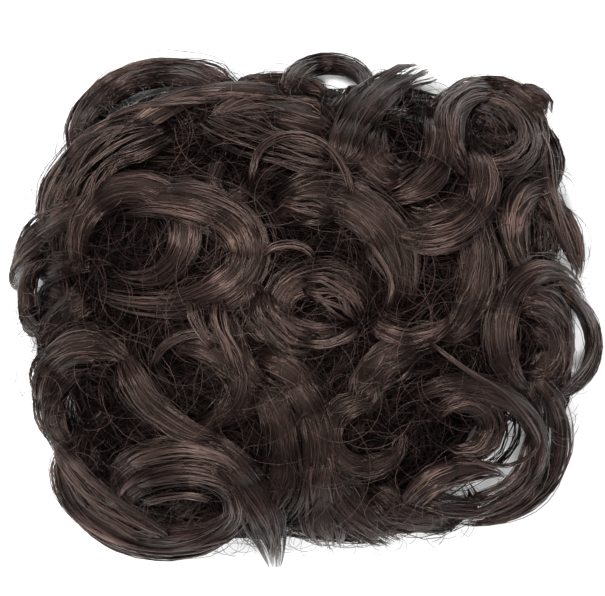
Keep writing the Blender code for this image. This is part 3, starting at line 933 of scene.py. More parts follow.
@dataclass
class LockMaker:
    """Makes the strands and the dark heart of each lock, and the looser wisps inside and outside it."""

    winder: Winder
    fibre: bpy.types.Material
    packed: bpy.types.Material
    shaded: bpy.types.Material
    habit: StrandHabit = field(default_factory=StrandHabit)
    painted_light_habit: PaintedLightHabit = field(default_factory=PaintedLightHabit)
    strands_per_mm: float = 6.8
    least_strands: int = 24
    station_mm: float = 4.9
    least_stations: int = 8
    strand_half_mm: float = 0.20
    clumps_per_mm: float = 0.60
    least_clumps: int = 3
    least_trail_mm: float = 6.0
    heart_share: float = 0.86
    heart_sides: int = 10
    heart_places: tuple[float, ...] = (0.015, 0.1, 0.78, 0.965)
    heart_sizes: tuple[float, ...] = (0.4, 1.0, 1.0, 0.08)
    wisp_strands: int = 32
    wisp_station_mm: float = 5.4
    least_wisp_stations: int = 7
    wisp_clump_mm: float = 22.0
    least_wisp: float = 0.20
    usual_tip: float = 0.30

    def make(self, curl: Curl) -> bpy.types.Object:
        """Make one lock.

        Args:
            curl: The curl that the lock follows.

        Returns:
            The lock's object.
        """
        course = self.winder.course(curl)
        draw = np.random.default_rng(zlib.crc32(curl.name.encode()))
        width_mm = 1000 * self.winder.lock_width * curl.width
        stations = max(self.least_stations, round(1000 * course.length / self.station_mm))
        count = max(self.least_strands, round(width_mm * self.strands_per_mm))
        hair = self.strands(curl, course, draw, count, stations, width_mm)
        heart = self.heart(curl, course, stations)
        return add_piece(join_meshes("lock_" + curl.name, [hair, heart]), (self.fibre, self.packed))

    def make_wisps(self, curl: Curl) -> bpy.types.Object:
        """Make the wisps that lie deeper, inside and outside a curl.

        Args:
            curl: The curl of the lock above them.

        Returns:
            The wisps as one object.
        """
        draw = np.random.default_rng(zlib.crc32(curl.name.encode()) + 7)
        meshes = []
        for growth, sink, width, turn in WISPS:
            first, last = curl.first + growth, curl.last + growth
            if min(first, last) < self.least_wisp:
                continue
            wisp = replace(curl, name=f"{curl.name}_{growth}", first=first, last=last,
                           start=curl.start + turn, sink=curl.sink + sink, end_sink=curl.end_sink + sink,
                           width=curl.width * width)
            course = self.winder.course(wisp, held=True)
            stations = max(self.least_wisp_stations, round(1000 * course.length / self.wisp_station_mm))
            meshes.append(self.strands(wisp, course, draw, self.wisp_strands, stations, self.wisp_clump_mm,
                                       self.winder.crown))
        mesh = join_meshes("wisps_" + curl.name, meshes)
        mesh.polygons.foreach_set("material_index", np.zeros(len(mesh.polygons), np.int32))
        # painted shade: the wisps take the darker fibre finish
        return add_piece(mesh, (self.shaded,))

    def make_trail(self, name: str, tone: Tone, count: int, half_width_mm: float, sink: float,
                   points: tuple[tuple[float, float], ...]) -> bpy.types.Object:
        """Make a loose trail of hair that runs over or past the locks.

        Args:
            name: The trail's name.
            tone: Its run of shades.
            count: Number of strands.
            half_width_mm: Half its width.
            sink: Its depth under the crown, in layers.
            points: Places on the ground plan that it passes over, in millimetres.

        Returns:
            The trail's object.
        """
        course = self.winder.trail(points, half_width_mm, sink)
        curl = Curl(name, 0, 0, 0, 0, 1, 1, 1, 1, sink, sink, tone=tone)
        draw = np.random.default_rng(zlib.crc32(name.encode()))
        stations = max(self.least_stations, round(1000 * course.length / self.station_mm))
        mesh = self.strands(curl, course, draw, count, stations, max(self.least_trail_mm, 2 * half_width_mm))
        mesh.name = "trail_" + name
        return add_piece(mesh, (self.fibre,))

    def heart(self, curl: Curl, course: Course, stations: int) -> bpy.types.Mesh:
        """Make the solid heart that fills the lock under its outer strands."""
        hank = Hank(strands=1, stations=stations, sides=self.heart_sides)
        t = np.linspace(self.heart_places[0], self.heart_places[-1], stations)
        full = self.heart_share * np.interp(t, (0.0, *self.heart_places[1:]), self.heart_sizes)
        return hank.fill(curl.name + "_heart", course, t, full)

    def strands(self, curl: Curl, course: Course, draw: np.random.Generator, count: int, stations: int,
                width_mm: float, crown: CrownForm | None = None) -> bpy.types.Mesh:
        """Make the lock's outer strands, in clumps that drift, part and come to points.

        Args:
            curl: The curl, for its tone and depth.
            course: The lock's course.
            draw: Source of chance.
            count: Number of strands.
            stations: Rings along each strand.
            width_mm: Width that is shared out among the clumps.
            crown: The form whose edge the strands are kept inside, if any.

        Returns:
            The strands as one mesh.
        """
        habit, loose = self.habit, 1 - curl.tip
        angle = draw.uniform(0, 2 * np.pi, count)
        under = np.sin(angle) < 0
        angle = np.where(under & (draw.random(count) < habit.upturned), -angle, angle)
        reach = np.sqrt(draw.uniform(*habit.shell, count))
        a, b = reach * np.cos(angle), reach * np.sin(angle)
        clumps = max(self.least_clumps, round(width_mm * self.clumps_per_mm))
        clump_a = (np.linspace(-habit.clump_reach, habit.clump_reach, clumps)
                   + draw.normal(0, habit.clump_jitter, clumps))
        clump_b = draw.normal(*habit.clump_rise, clumps)
        near = np.abs(a[:, None] - clump_a[None, :]).argmin(axis=1)
        most, share = habit.late_starts
        early = draw.uniform(0.0, most, count) * (draw.random(count) < share)
        most, share = habit.early_ends
        late = 1 - draw.uniform(0.0, most * loose, count) * (draw.random(count) < share)
        t = early[:, None] + (late - early)[:, None] * np.linspace(0, 1, stations)[None, :]
        gather = habit.gather[0] + habit.gather[1] * loose * t ** 3
        pull = habit.gather_through
        a = a[:, None] * (1 - gather) + clump_a[near][:, None] * gather
        b = (b[:, None] * (1 - pull * gather)
             + (b * (1 - pull) + clump_b[near] * pull)[:, None] * pull * gather)
        sizes = zip(habit.clump_drift, habit.own_drift)
        a, b = (run + self.drift(draw, t, clumps, near, shared, habit.clump_waves)
                + self.own_drift(draw, t, own, habit.own_waves) for run, (shared, own) in zip((a, b), sizes))
        stray = draw.random(count) < habit.stray_share * min(1.0, habit.stray_taming * loose)
        wide = np.where(stray, draw.uniform(*habit.stray_width, count), 0.0)[:, None]
        wide = wide * min(1.0, habit.stray_reach / float(course.side.max()))
        a = a + wide * self.own_drift(draw, t, 1.0, habit.stray_waves)
        b = b + wide * (habit.stray_lift + self.own_drift(draw, t, 1.0, habit.stray_waves))
        taper = habit.taper[0] + habit.taper[1] * max(0.0, curl.tip - self.usual_tip)
        from_end = np.minimum((t - early[:, None]) + habit.root_start, (late[:, None] - t) * taper)
        ends = np.minimum(1, habit.end_thickness + habit.end_growth * from_end)
        half = (0.001 * self.strand_half_mm * draw.uniform(*habit.thickness, count)
                * np.where(stray, habit.stray_thinness, 1.0))
        shade = self.shade(curl, course, draw, clumps, near, a, b, t)
        hank = Hank(strands=count, stations=stations)
        return hank.wind(curl.name + "_hair", course, a, b, t, half[:, None] * ends, shade,
                         draw.uniform(0, 2 * np.pi, count), crown)

    def shade(self, curl: Curl, course: Course, draw: np.random.Generator, clumps: int, near: np.ndarray,
              a: np.ndarray, b: np.ndarray, t: np.ndarray) -> np.ndarray:
        """Work out how light each strand of a lock is: its own tone, with painted shade underneath, at the
        lock's edges and deep in the bun, and painted highlight on its crests.

        Args:
            curl: The curl, for its tone and depth.
            course: The lock's course, for its swells.
            draw: Source of chance.
            clumps: Number of clumps.
            near: The clump that each strand belongs to.
            a: Place of each strand across the lock at each station, in half widths.
            b: Its place through the lock, in half thicknesses.
            t: Share of the lock's length there.

        Returns:
            Place of each strand on the shade ramp at each station.
        """
        habit = self.painted_light_habit
        low, high = curl.tone.value
        clump_shade = draw.uniform(low, high, clumps)
        shade = (habit.clump_share * clump_shade[near]
                 + (1 - habit.clump_share) * draw.uniform(low, high, len(near)))
        # painted shade: strands low in the lock are darker
        painted_under_shade = habit.underneath + (1 - habit.underneath) * np.clip(0.5 + habit.climb * b, 0, 1)
        # painted shade: strands at the lock's edges are darker
        rim = 1 - habit.edge_start
        edge = 1 - habit.edge_loss * np.clip(np.abs(a) - habit.edge_start, 0, rim) / rim
        # painted shade: locks that lie deeper in the bun are darker
        deep = np.clip(habit.deep_start - habit.deep_loss * curl.sink, habit.deep_least, 1.0)
        # painted highlight: strands are lighter where the lock swells up and darker in its hollows
        swell = np.interp(t, np.linspace(0, 1, len(course.swell)), course.swell)
        proud = habit.swell_mean + habit.swell_gain * swell
        return np.clip(shade[:, None] * painted_under_shade * edge * deep * proud, 0.01, 0.99)

    @staticmethod
    def drift(draw: np.random.Generator, t: np.ndarray, clumps: int, near: np.ndarray, size: float,
              waves: tuple[float, float]) -> np.ndarray:
        """Slow sideways drift that the strands of a clump share."""
        total = np.zeros_like(t)
        for _ in range(2):
            rate = draw.uniform(*waves, clumps)[near][:, None]
            phase = draw.uniform(0, 2 * np.pi, clumps)[near][:, None]
            total += size * np.sin(2 * np.pi * rate * t + phase)
        return total

    @staticmethod
    def own_drift(draw: np.random.Generator, t: np.ndarray, size: float,
                  waves: tuple[float, float]) -> np.ndarray:
        """Sideways drift of each strand by itself."""
        count = len(t)
        rate = draw.uniform(*waves, count)[:, None]
        phase = draw.uniform(0, 2 * np.pi, count)[:, None]
        return size * np.sin(2 * np.pi * rate * t + phase)


@dataclass
class WeftBed:
    """The domed bed of wefts between the cap and the locks."""

    crown: CrownForm
    width: float = 0.162
    depth: float = 0.136
    height: float = 0.0560
    roundness: float = 2.7
    sides: int = 96
    rings: int = 20
    flat_top: float = 0.02
    lift: float = 0.0004
    cap_gap: float = 0.0003
    hollows: tuple[tuple[str, float, float, float], ...] = (
        ("behind", 100, 0.10, 28), ("front_right", -39, 0.16, 15))

    def outer(self) -> np.ndarray:
        """Rings of the outer face, from the ground up."""
        climb = self.climbs()[:, None]
        turn = self.turns()[None, :]
        share = np.cos(climb)
        height = self.height * (1 - share ** self.roundness) ** (1 / self.roundness)
        reach = share * self.crown.round_off(turn)
        for _, direction, deep, half_width in self.hollows:
            off = np.remainder(turn - math.radians(direction) + math.pi, 2 * math.pi) - math.pi
            reach = reach * (1 - deep * np.exp(-(off / math.radians(half_width)) ** 2))
        return np.stack([0.5 * self.width * reach * np.cos(turn), 0.5 * self.depth * reach * np.sin(turn),
                         height + 0 * turn], axis=-1)

    def inner(self, low: Vector, high: Vector, gap: float) -> np.ndarray:
        """Rings of the inner face, a gap outside the cap, from the ground up."""
        half = (high - low) / 2
        climb = self.climbs()[:, None]
        turn = self.turns()[None, :]
        return np.stack([(half.x + gap) * np.cos(climb) * np.cos(turn),
                         (half.y + gap) * np.cos(climb) * np.sin(turn),
                         (high.z + gap) * np.sin(climb) + 0 * turn], axis=-1)

    def climbs(self) -> np.ndarray:
        """Angles of the rings above the ground."""
        step = np.minimum(np.arange(self.rings + 1), self.rings - self.flat_top)
        return 0.5 * math.pi * step / self.rings

    def turns(self) -> np.ndarray:
        """Angles of the corners round the upright axis."""
        return 2 * math.pi * np.arange(self.sides) / self.sides

    def make(self, material: bpy.types.Material) -> bpy.types.Object:
        """Make the bed, which stands for the hair's solid.

        Args:
            material: Its finish.

        Returns:
            The bed's object.
        """
        low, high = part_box("cap")
        rings = np.concatenate([self.outer()[::-1], self.inner(low, high, self.cap_gap)])
        rings[..., 2] = np.maximum(rings[..., 2], self.lift)
        bed = add_piece(loft("weft_bed", rings), (material,))
        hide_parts("hair")
        return bed


def loft(name: str, rings: np.ndarray) -> bpy.types.Mesh:
    """Skin a run of rings with both ends closed, by extruding the first ring.

    Args:
        name: The mesh's name.
        rings: Points of each ring, as an array of rings by corners by three.

    Returns:
        The closed mesh, with its faces outward.
    """
    bm = bmesh.new()
    bmesh.ops.create_circle(bm, cap_ends=True, segments=rings.shape[1], radius=1.0)
    ring = sorted(bm.verts, key=lambda vertex: math.atan2(vertex.co.y, vertex.co.x) % (2 * math.pi))
    edges = list(bm.edges)
    for vertex, point in zip(ring, rings[0]):
        vertex.co = point
    for points in rings[1:]:
        fresh, edges = grow_ring(bm, edges)
        ring = [next(edge.other_vert(old) for edge in old.link_edges if edge.other_vert(old) in fresh)
                for old in ring]
        for vertex, point in zip(ring, points):
            vertex.co = point
    bmesh.ops.contextual_create(bm, geom=edges)
    bmesh.ops.recalc_face_normals(bm, faces=bm.faces)
    mesh = bpy.data.meshes.new(name)
    bm.to_mesh(mesh)
    bm.free()
    mesh.shade_smooth()
    return mesh


@dataclass(frozen=True)
class LooseKind:
    """One kind of fine single hairs, as its row of the table states it.

    Each run of two numbers gives the least and the most: spread is how far out the hairs start, sink their
    depth under the crown in layers, sweep their turn in degrees, and shade their place on the ramp. Edge is
    how far out any part of a hair may reach.
    """

    name: str
    seed: int
    count: int
    spread: tuple[float, float]
    edge: float
    sink: tuple[float, float]
    radius_mm: tuple[float, float]
    sweep: tuple[float, float]
    shade: tuple[float, float]
    half_mm: float
    in_painted_shade: bool


@dataclass
class LooseHair:
    """Fine single hairs: between the locks, over them, in the skirt under them, and at the edge."""

    crown: CrownForm
    fibre: bpy.types.Material
    shaded: bpy.types.Material
    holes: tuple[tuple[str, float, float, float, float], ...]
    skirt_seed: int = 53
    skirt_count: int = 560
    skirt_half_turn: tuple[float, float] = (9, 26)
    skirt_spread: tuple[float, float] = (0.67, 0.83)
    skirt_height: tuple[float, float] = (0.15, 0.78)
    skirt_least_height: float = 0.001
    skirt_half_mm: float = 0.20
    skirt_shade: tuple[float, float] = (0.10, 0.80)
    wander: float = 0.25
    thickness: tuple[float, float] = (0.7, 1.3)
    stations: int = 11

    def make_skirt(self) -> bpy.types.Object:
        """Make the skirt: deep strands that run round the bun under its outer locks."""
        draw = np.random.default_rng(self.skirt_seed)
        count = self.skirt_count
        middle = draw.uniform(-180, 180, count)
        half = draw.uniform(*self.skirt_half_turn, count)
        spread = draw.uniform(*self.skirt_spread, count)
        t = np.linspace(0, 1, self.stations)[None, :]
        way = draw.choice((-1, 1), count)[:, None]
        turn = np.radians(middle[:, None] + half[:, None] * (2 * t - 1) * way)
        lean = draw.normal(0, 0.03, (count, 1)) * (2 * t - 1)
        wave = 0.02 * np.sin(6 * t + draw.uniform(0, 6, (count, 1)))
        reach = self.crown.round_off(turn) * (spread[:, None] + lean + wave)
        x = 0.5 * self.crown.width * reach * np.cos(turn)
        y = 0.5 * self.crown.depth * reach * np.sin(turn)
        top = self.crown.top(x, y)
        level = draw.uniform(*self.skirt_height, (count, 1))
        height = top * (level + 0.10 * np.sin(5 * t + draw.uniform(0, 6, (count, 1))))
        place = np.stack([x, y, np.maximum(self.skirt_least_height, height)], axis=-1)
        up = unit(np.stack([np.cos(turn), np.sin(turn), 0.8 + 0 * turn], axis=-1))
        # painted shade: the skirt takes the darker fibre finish
        return self.lay("hair_skirt", draw, place, up, self.skirt_half_mm, self.skirt_shade, self.shaded)

    def make(self, kind: LooseKind) -> bpy.types.Object:
        """Make one kind of single curled hairs, laid on the crown.

        Args:
            kind: The kind of hair.

        Returns:
            The hairs as one object.
        """
        draw = np.random.default_rng(kind.seed)
        count = kind.count
        around = draw.uniform(0, 2 * np.pi, count)
        spread = np.sqrt(draw.uniform(kind.spread[0] ** 2, kind.spread[1] ** 2, count))
        t = np.linspace(0, 1, self.stations)[None, :]
        radius = 0.001 * draw.uniform(*kind.radius_mm, count)[:, None]
        radius = radius * (1 + draw.normal(0, self.wander, count)[:, None] * t)
        sweep = np.radians(draw.uniform(*kind.sweep, count)) * draw.choice((-1, 1), count)
        bend = draw.uniform(0, 2 * np.pi, count)[:, None] + sweep[:, None] * t
        reach = (spread * self.crown.round_off(around))[:, None]
        x = 0.5 * self.crown.width * reach * np.cos(around)[:, None] + radius * np.cos(bend)
        y = 0.5 * self.crown.depth * reach * np.sin(around)[:, None] + radius * np.sin(bend)
        inside = self.crown.spread(x, y).max(axis=1) < kind.edge
        sink = draw.uniform(*kind.sink, count)[:, None] + draw.normal(0, self.wander, count)[:, None] * t
        place, up = self.crown.lay_on_crown(x, y, self.crown.layer * sink)
        # painted shade: the deep kinds take the darker fibre finish
        finish = self.shaded if kind.in_painted_shade else self.fibre
        return self.lay(kind.name, draw, place[inside], up[inside], kind.half_mm, kind.shade, finish)

    def clear_of_holes(self, place: np.ndarray) -> np.ndarray:
        """Tell which hairs pass beside every hole that shows the floor."""
        clear = np.ones(len(place), bool)
        for _, x, y, half_x, half_y in self.holes:
            off = np.hypot((1000 * place[..., 0] - x) / half_x, (1000 * place[..., 1] - y) / half_y)
            clear &= off.min(axis=1) > 1
        return clear

    def lay(self, name: str, draw: np.random.Generator, place: np.ndarray, up: np.ndarray, half_mm: float,
            shades: tuple[float, float], finish: bpy.types.Material) -> bpy.types.Object:
        """Make single hairs along given places.

        Args:
            name: The piece's name.
            draw: Source of chance.
            place: Places of each hair's stations.
            up: Way out of the bun at each.
            half_mm: Half thickness of a hair.
            shades: Least and most place on the shade ramp.
            finish: Their finish.

        Returns:
            The hairs as one object.
        """
        clear = self.clear_of_holes(place)
        place, up = place[clear], up[clear]
        count, stations = place.shape[:2]
        t = np.linspace(0, 1, stations)[None, :]
        across, up = square_up(place, up, axis=1)
        half = 0.001 * half_mm * draw.uniform(*self.thickness, count)[:, None]
        half = half * np.minimum(1, 0.3 + 4 * (1 - t) * (0.1 + t))
        shade = draw.uniform(*shades, count)
        hank = Hank(strands=count, stations=stations)
        mesh = hank.straight_mesh(name)
        strand, station, corner = hank.read(mesh)
        spoke = (across[strand, station] * np.cos(corner)[:, None]
                 + up[strand, station] * np.sin(corner)[:, None])
        hank.bend(mesh, place[strand, station] + spoke * half[strand, station][:, None], shade[strand],
                  t[0][station])
        return add_piece(mesh, (finish,))


@dataclass
class CapAndCombs:
    """The net cap and the two clip combs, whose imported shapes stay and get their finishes."""

    net: NetClothFinish = field(default_factory=NetClothFinish)
    plastic: CombPlasticFinish = field(default_factory=CombPlasticFinish)

    def dress(self) -> None:
        """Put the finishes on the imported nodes."""
        for names, finish in ((("cap",), self.net), (("comb_front", "comb_rear"), self.plastic)):
            material = finish.build()
            for name in names:
                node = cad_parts[name]
                node.data.materials.clear()
                node.data.materials.append(material)
                log.info("%s: %s", name, material.name)


@dataclass
class Studio:
    """The pale floor, the soft lights and the camera above the piece."""

    elevation: float = 88.0
    distance: float = 1.40
    frame_width: float = 0.2017
    target: tuple[float, float, float] = (0.0, 0.0034, 0.030)
    aim: tuple[float, float, float] = (0.0, 0.0, 0.03)
    room: str = "#f4f5f7"
    room_light: float = 0.20
    floor: PaleFloorFinish = field(default_factory=PaleFloorFinish)

    def make(self) -> None:
        """Set up the whole studio."""
        self.make_floor()
        self.make_lights()
        self.make_camera()

    def make_floor(self) -> None:
        """Lay the floor."""
        bm = bmesh.new()
        bmesh.ops.create_grid(bm, x_segments=1, y_segments=1, size=3.0)
        mesh = bpy.data.meshes.new("studio_floor")
        bm.to_mesh(mesh)
        bm.free()
        mesh.materials.append(self.floor.build())
        link_object("studio_floor", mesh)

    def make_lights(self) -> None:
        """Hang a large soft light over the piece and two softer ones at its sides, in a pale room."""
        # name, place, size in metres, power in watts
        lights = (
            ("key_softbox", (-0.34, 0.34, 1.32), 0.45, 27.0),
            ("fill_softbox", (0.85, -0.55, 1.10), 0.8, 7.0),
            ("top_softbox", (0.10, -0.30, 1.50), 0.4, 18.0),
        )
        for name, place, size, power in lights:
            light = bpy.data.lights.new(name, "AREA")
            light.shape = "DISK"
            light.size = size
            light.energy = power
            lamp = link_object(name, light)
            lamp.location = place
            lamp.rotation_euler = (Vector(self.aim) - Vector(place)).to_track_quat("-Z", "Y").to_euler()
        world = bpy.data.worlds.new("pale_room")
        world.use_nodes = True
        set_inputs(world.node_tree.nodes["Background"],
                   {"Color": to_linear(self.room), "Strength": self.room_light})
        bpy.context.scene.world = world
        bpy.context.scene.view_settings.view_transform = "Standard"

    def make_camera(self) -> None:
        """Place the camera as the photograph was taken: nearly straight from above."""
        data = bpy.data.cameras.new("camera")
        data.sensor_width = 36.0
        data.lens = data.sensor_width * self.distance / self.frame_width
        data.dof.use_dof = False
        camera = link_object("camera", data)
        lean = math.radians(self.elevation)
        target = Vector(self.target)
        camera.location = target + self.distance * Vector((0, -math.cos(lean), math.sin(lean)))
        camera.rotation_euler = (math.pi / 2 - lean, 0, 0)
        bpy.context.scene.camera = camera


# The locks. Centre: shares of half the width and half the depth. Angles: degrees, from +X towards +Y.
# Radii: shares of the curl radius. Oval: depth of the curl over its width. Width: share of the lock width.
# Sink: how far the lock's top lies under the crown at its two ends, in layers.
# name, centre x, centre y, start angle, sweep, start radius, end radius, oval, width, sink, end sink
LOCKS = (
    ("crown_left_sweep", -0.48, 0.62, 36, 155, 2.18, 1.82, 0.88, 1.13, 0.8, 1.2),
    ("crown_left_band", -0.24, 0.19, 66, 76, 3.82, 3.56, 1.00, 0.73, 0.4, 0.8),
    ("left_fall", -0.51, 0.29, 80, 108, 2.22, 2.22, 1.07, 1.33, 0.6, 1.2),
    ("rose_heart", -0.54, 0.26, 205, -325, 1.42, 0.89, 0.95, 0.87, 0.1, 0.8),
    ("rose_outer", -0.46, 0.21, 125, -255, 1.82, 2.04, 0.60, 1.13, 0.2, 0.5),
    ("left_ear", -0.64, -0.08, 85, 66, 2.67, 2.62, 1.00, 0.80, 0.8, 0.4),
    ("left_loop", -0.86, 0.05, 70, 230, 0.49, 0.49, 1.65, 0.43, 0.9, 0.9),
    ("left_shoulder", -0.68, -0.16, 92, 105, 1.11, 1.11, 0.95, 0.87, 0.9, 1.2),
    ("low_left_wave", -0.70, -0.35, 188, -150, 1.14, 1.20, 1.00, 0.87, 0.2, 0.4),
    ("low_left_slide", -0.24, -0.11, 188, 82, 2.29, 2.29, 1.00, 0.80, 0.2, 0.5),
    ("low_left_tuck", -0.67, -0.39, 105, 145, 1.13, 1.09, 0.95, 0.87, 0.9, 1.1),
    ("barrel_outer", -0.47, -0.60, 168, 180, 2.18, 2.18, 0.80, 1.20, 0.4, 0.6),
    ("barrel_heart", -0.39, -0.77, 190, -300, 1.38, 1.11, 0.64, 0.75, 0.2, 0.8),
    ("barrel_top", -0.40, -0.76, 165, -160, 1.60, 1.56, 0.78, 0.80, 0.5, 0.8),
    ("hem_point", -0.58, -1.00, 64, -64, 3.22, 3.22, 1.00, 1.00, 0.4, 0.6),
    ("hem_left", -0.39, -0.56, 48, -86, 2.22, 2.22, 1.00, 0.87, 0.5, 0.9),
    ("hem_middle", -0.28, -0.56, 52, -92, 2.22, 2.22, 1.00, 0.93, 0.3, 0.7),
    ("hem_fan", 0.49, -0.71, 158, 46, 2.90, 2.90, 1.00, 1.00, 0.5, 0.7),
    ("hem_right", 0.42, -0.51, 178, 72, 2.33, 2.33, 1.00, 1.07, 0.6, 0.9),
    ("low_ring", 0.22, -0.50, 60, 320, 0.98, 0.67, 0.85, 0.67, 0.4, 0.9),
    ("low_right_hoop", 0.51, -0.55, 125, -220, 1.82, 1.87, 0.77, 0.62, 0.3, 0.7),
    ("low_right_heart", 0.53, -0.47, 160, -290, 0.70, 0.50, 0.95, 0.67, 0.5, 0.9),
    ("low_right_lip", 0.56, -0.90, 155, -92, 1.60, 1.60, 1.00, 0.80, 0.4, 0.7),
    ("low_right_edge", 0.56, -0.51, 60, -155, 2.04, 2.04, 0.92, 0.47, 1.0, 1.1),
    ("low_right_tuck", 0.46, -0.61, 200, 94, 1.56, 1.47, 0.82, 1.13, 0.9, 1.1),
    ("right_barrel_band", 0.81, -0.10, 245, -205, 1.11, 1.16, 1.20, 0.80, 0.3, 0.6),
    ("right_barrel_side", 0.73, -0.16, 115, -165, 0.89, 0.93, 1.20, 1.00, 0.5, 0.9),
    ("right_barrel_heart", 0.76, -0.16, 110, -230, 0.53, 0.44, 1.20, 0.80, 0.7, 1.2),
    ("right_stray", 0.815, -0.14, 90, -175, 1.14, 1.14, 1.05, 0.27, 1.0, 1.0),
    ("right_shoulder", 0.82, 0.29, 80, 175, 0.84, 0.84, 1.20, 0.87, 0.5, 0.9),
    ("right_slope", 0.58, 0.12, 60, -58, 2.31, 2.31, 1.00, 0.73, 0.6, 0.8),
    ("crown_right_ring", 0.65, 0.68, 250, -320, 1.11, 0.98, 1.10, 0.80, 0.4, 0.8),
    ("crown_right_side", 0.59, 0.54, 62, -80, 1.69, 1.69, 1.15, 0.60, 0.9, 1.1),
    ("crown_right_stub", 0.77, 0.80, 130, -130, 0.40, 0.36, 1.00, 0.47, 1.0, 0.8),
    ("crown_stub", 0.59, 0.43, 172, -58, 3.15, 3.17, 1.00, 1.00, 0.3, 0.5),
    ("crown_loop", 0.09, 0.84, 205, -245, 0.93, 0.89, 0.84, 0.50, 0.8, 0.9),
    ("crown_loop_foot", -0.09, 0.54, 118, -66, 2.00, 2.00, 1.00, 0.47, 0.9, 1.0),
    ("crown_back", -0.11, 0.35, 55, 75, 2.33, 2.33, 1.00, 1.33, 0.9, 1.2),
    ("crown_pin_curl", -0.23, 0.47, 100, 270, 0.44, 0.33, 1.00, 0.47, 0.6, 0.9),
    ("centre_swirl", 0.06, 0.08, 125, -140, 1.78, 1.78, 1.06, 1.27, 0.2, 0.7),
    ("right_cup", 0.27, 0.62, 35, -130, 1.24, 1.24, 0.97, 0.80, 0.1, 0.4),
    ("right_cup_outer", 0.39, 0.47, 42, -172, 1.38, 1.38, 0.92, 0.87, 0.2, 0.5),
    ("right_cup_inner", 0.41, 0.48, 15, -145, 0.93, 0.93, 0.92, 0.73, 0.5, 0.7),
    ("right_cup_heart", 0.31, 0.60, 120, 210, 0.62, 0.53, 1.00, 0.93, 0.7, 1.1),
    ("centre_rose", 0.06, -0.02, 10, 330, 1.12, 0.74, 0.70, 0.84, 0.3, 0.8),
    ("centre_rose_lip", 0.02, 0.06, 168, 84, 1.24, 1.24, 0.98, 0.73, 0.3, 0.6),
    ("left_drop", -0.04, 0.04, 184, 56, 2.11, 2.11, 1.00, 0.73, 1.5, 0.5),
    ("centre_drop", 0.09, 0.04, 181, 55, 2.44, 2.44, 1.00, 0.87, 1.3, 0.3),
    ("centre_drop_turn", -0.18, -0.43, 82, -88, 1.38, 1.38, 1.00, 0.87, 0.3, 0.7),
    ("right_drop", 0.26, 0.16, 44, -98, 2.18, 2.13, 1.00, 1.07, 0.5, 0.9),
    ("centre_wedge", 0.34, 0.08, 232, 92, 1.18, 1.18, 1.00, 0.53, 0.4, 0.7),
    ("low_centre_fall", 0.42, -0.43, 98, 84, 1.56, 1.56, 1.00, 1.00, 0.5, 0.9),
    ("left_ring", -0.36, -0.29, 140, -260, 1.11, 1.02, 0.92, 0.60, 0.6, 0.9),
    ("left_ring_outer", -0.39, -0.35, 112, -155, 1.29, 1.29, 0.90, 0.73, 0.4, 0.8),
)

# Locks round the side. Direction: degrees from +X towards +Y. Height of the curl's middle: share of the
# crown's height. The other columns are those of LOCKS, with angles from sideways to up.
SIDE_LOCKS = (
    ("side_right", 2, 0.30, 120, 230, 0.95, 0.80, 1.00, 0.80, 1.1, 1.5),
    ("side_right_back", 24, 0.30, 60, -235, 1.05, 0.85, 0.95, 0.85, 1.0, 1.4),
    ("side_back_corner", 46, 0.28, 130, 220, 1.00, 0.90, 1.00, 0.90, 0.9, 1.3),
    ("side_back_right", 68, 0.30, 70, -240, 1.10, 0.90, 0.90, 0.80, 1.0, 1.5),
    ("side_back", 92, 0.32, 115, 225, 1.10, 0.85, 1.00, 0.90, 1.2, 1.5),
    ("side_back_left", 116, 0.28, 60, -230, 1.00, 0.90, 0.95, 0.80, 1.0, 1.4),
    ("side_left_corner", 138, 0.30, 125, 230, 1.10, 0.90, 1.00, 0.85, 1.0, 1.4),
    ("side_left_back", 160, 0.30, 65, -225, 1.00, 0.85, 1.00, 0.85, 1.1, 1.4),
    ("side_left", 184, 0.28, 120, 235, 0.95, 0.80, 1.00, 0.80, 1.3, 1.6),
    ("side_left_front", 207, 0.30, 60, -235, 1.05, 0.90, 0.95, 0.90, 1.1, 1.4),
    ("side_front_left", 252, 0.32, 120, 230, 1.10, 0.90, 1.00, 0.85, 0.9, 1.4),
    ("side_front", 276, 0.30, 65, -235, 1.10, 0.90, 0.95, 0.90, 0.8, 1.3),
    ("side_front_right", 300, 0.30, 125, 225, 1.05, 0.85, 1.00, 0.85, 1.0, 1.4),
    ("side_right_front", 338, 0.28, 60, -230, 0.95, 0.80, 1.00, 0.80, 1.1, 1.4),
)

# Locks whose tone isn't the cool one (the light ones carry painted highlight), locks without wisps under
# them, and the fullness that blunt tips keep.
TONED_LOCKS = {
    Tone.LIGHT: ("rose_outer", "centre_rose_lip", "left_drop", "centre_drop", "right_barrel_band",
                 "centre_wedge", "right_cup", "right_cup_outer", "barrel_outer", "barrel_top",
                 "crown_left_sweep", "left_fall"),
    Tone.WARM: ("crown_right_ring", "right_shoulder", "crown_left_band", "low_left_wave", "right_slope",
                "crown_right_side", "low_right_lip", "low_right_edge", "right_stray", "crown_back",
                "left_ear"),
    Tone.DUSK: ("left_ring", "left_ring_outer", "low_ring", "low_centre_fall", "hem_left", "hem_middle",
                "hem_point", "centre_swirl", "centre_rose", "low_left_slide", "low_left_tuck",
                "right_drop", "left_shoulder", "crown_stub", "low_right_tuck", "hem_right"),
}
OPEN_LOCKS = ("crown_loop", "left_loop", "left_ear", "low_right_hoop", "low_right_lip", "low_right_edge",
              "right_slope", "right_stray", "crown_right_stub", "low_right_tuck")
BLUNT_TIPS = {"crown_stub": 0.85, "hem_point": 0.42, "crown_right_stub": 0.80, "hem_right": 0.70,
              "hem_middle": 0.55, "hem_fan": 0.70, "hem_left": 0.50, "low_right_lip": 0.10,
              "low_right_tuck": 0.12}

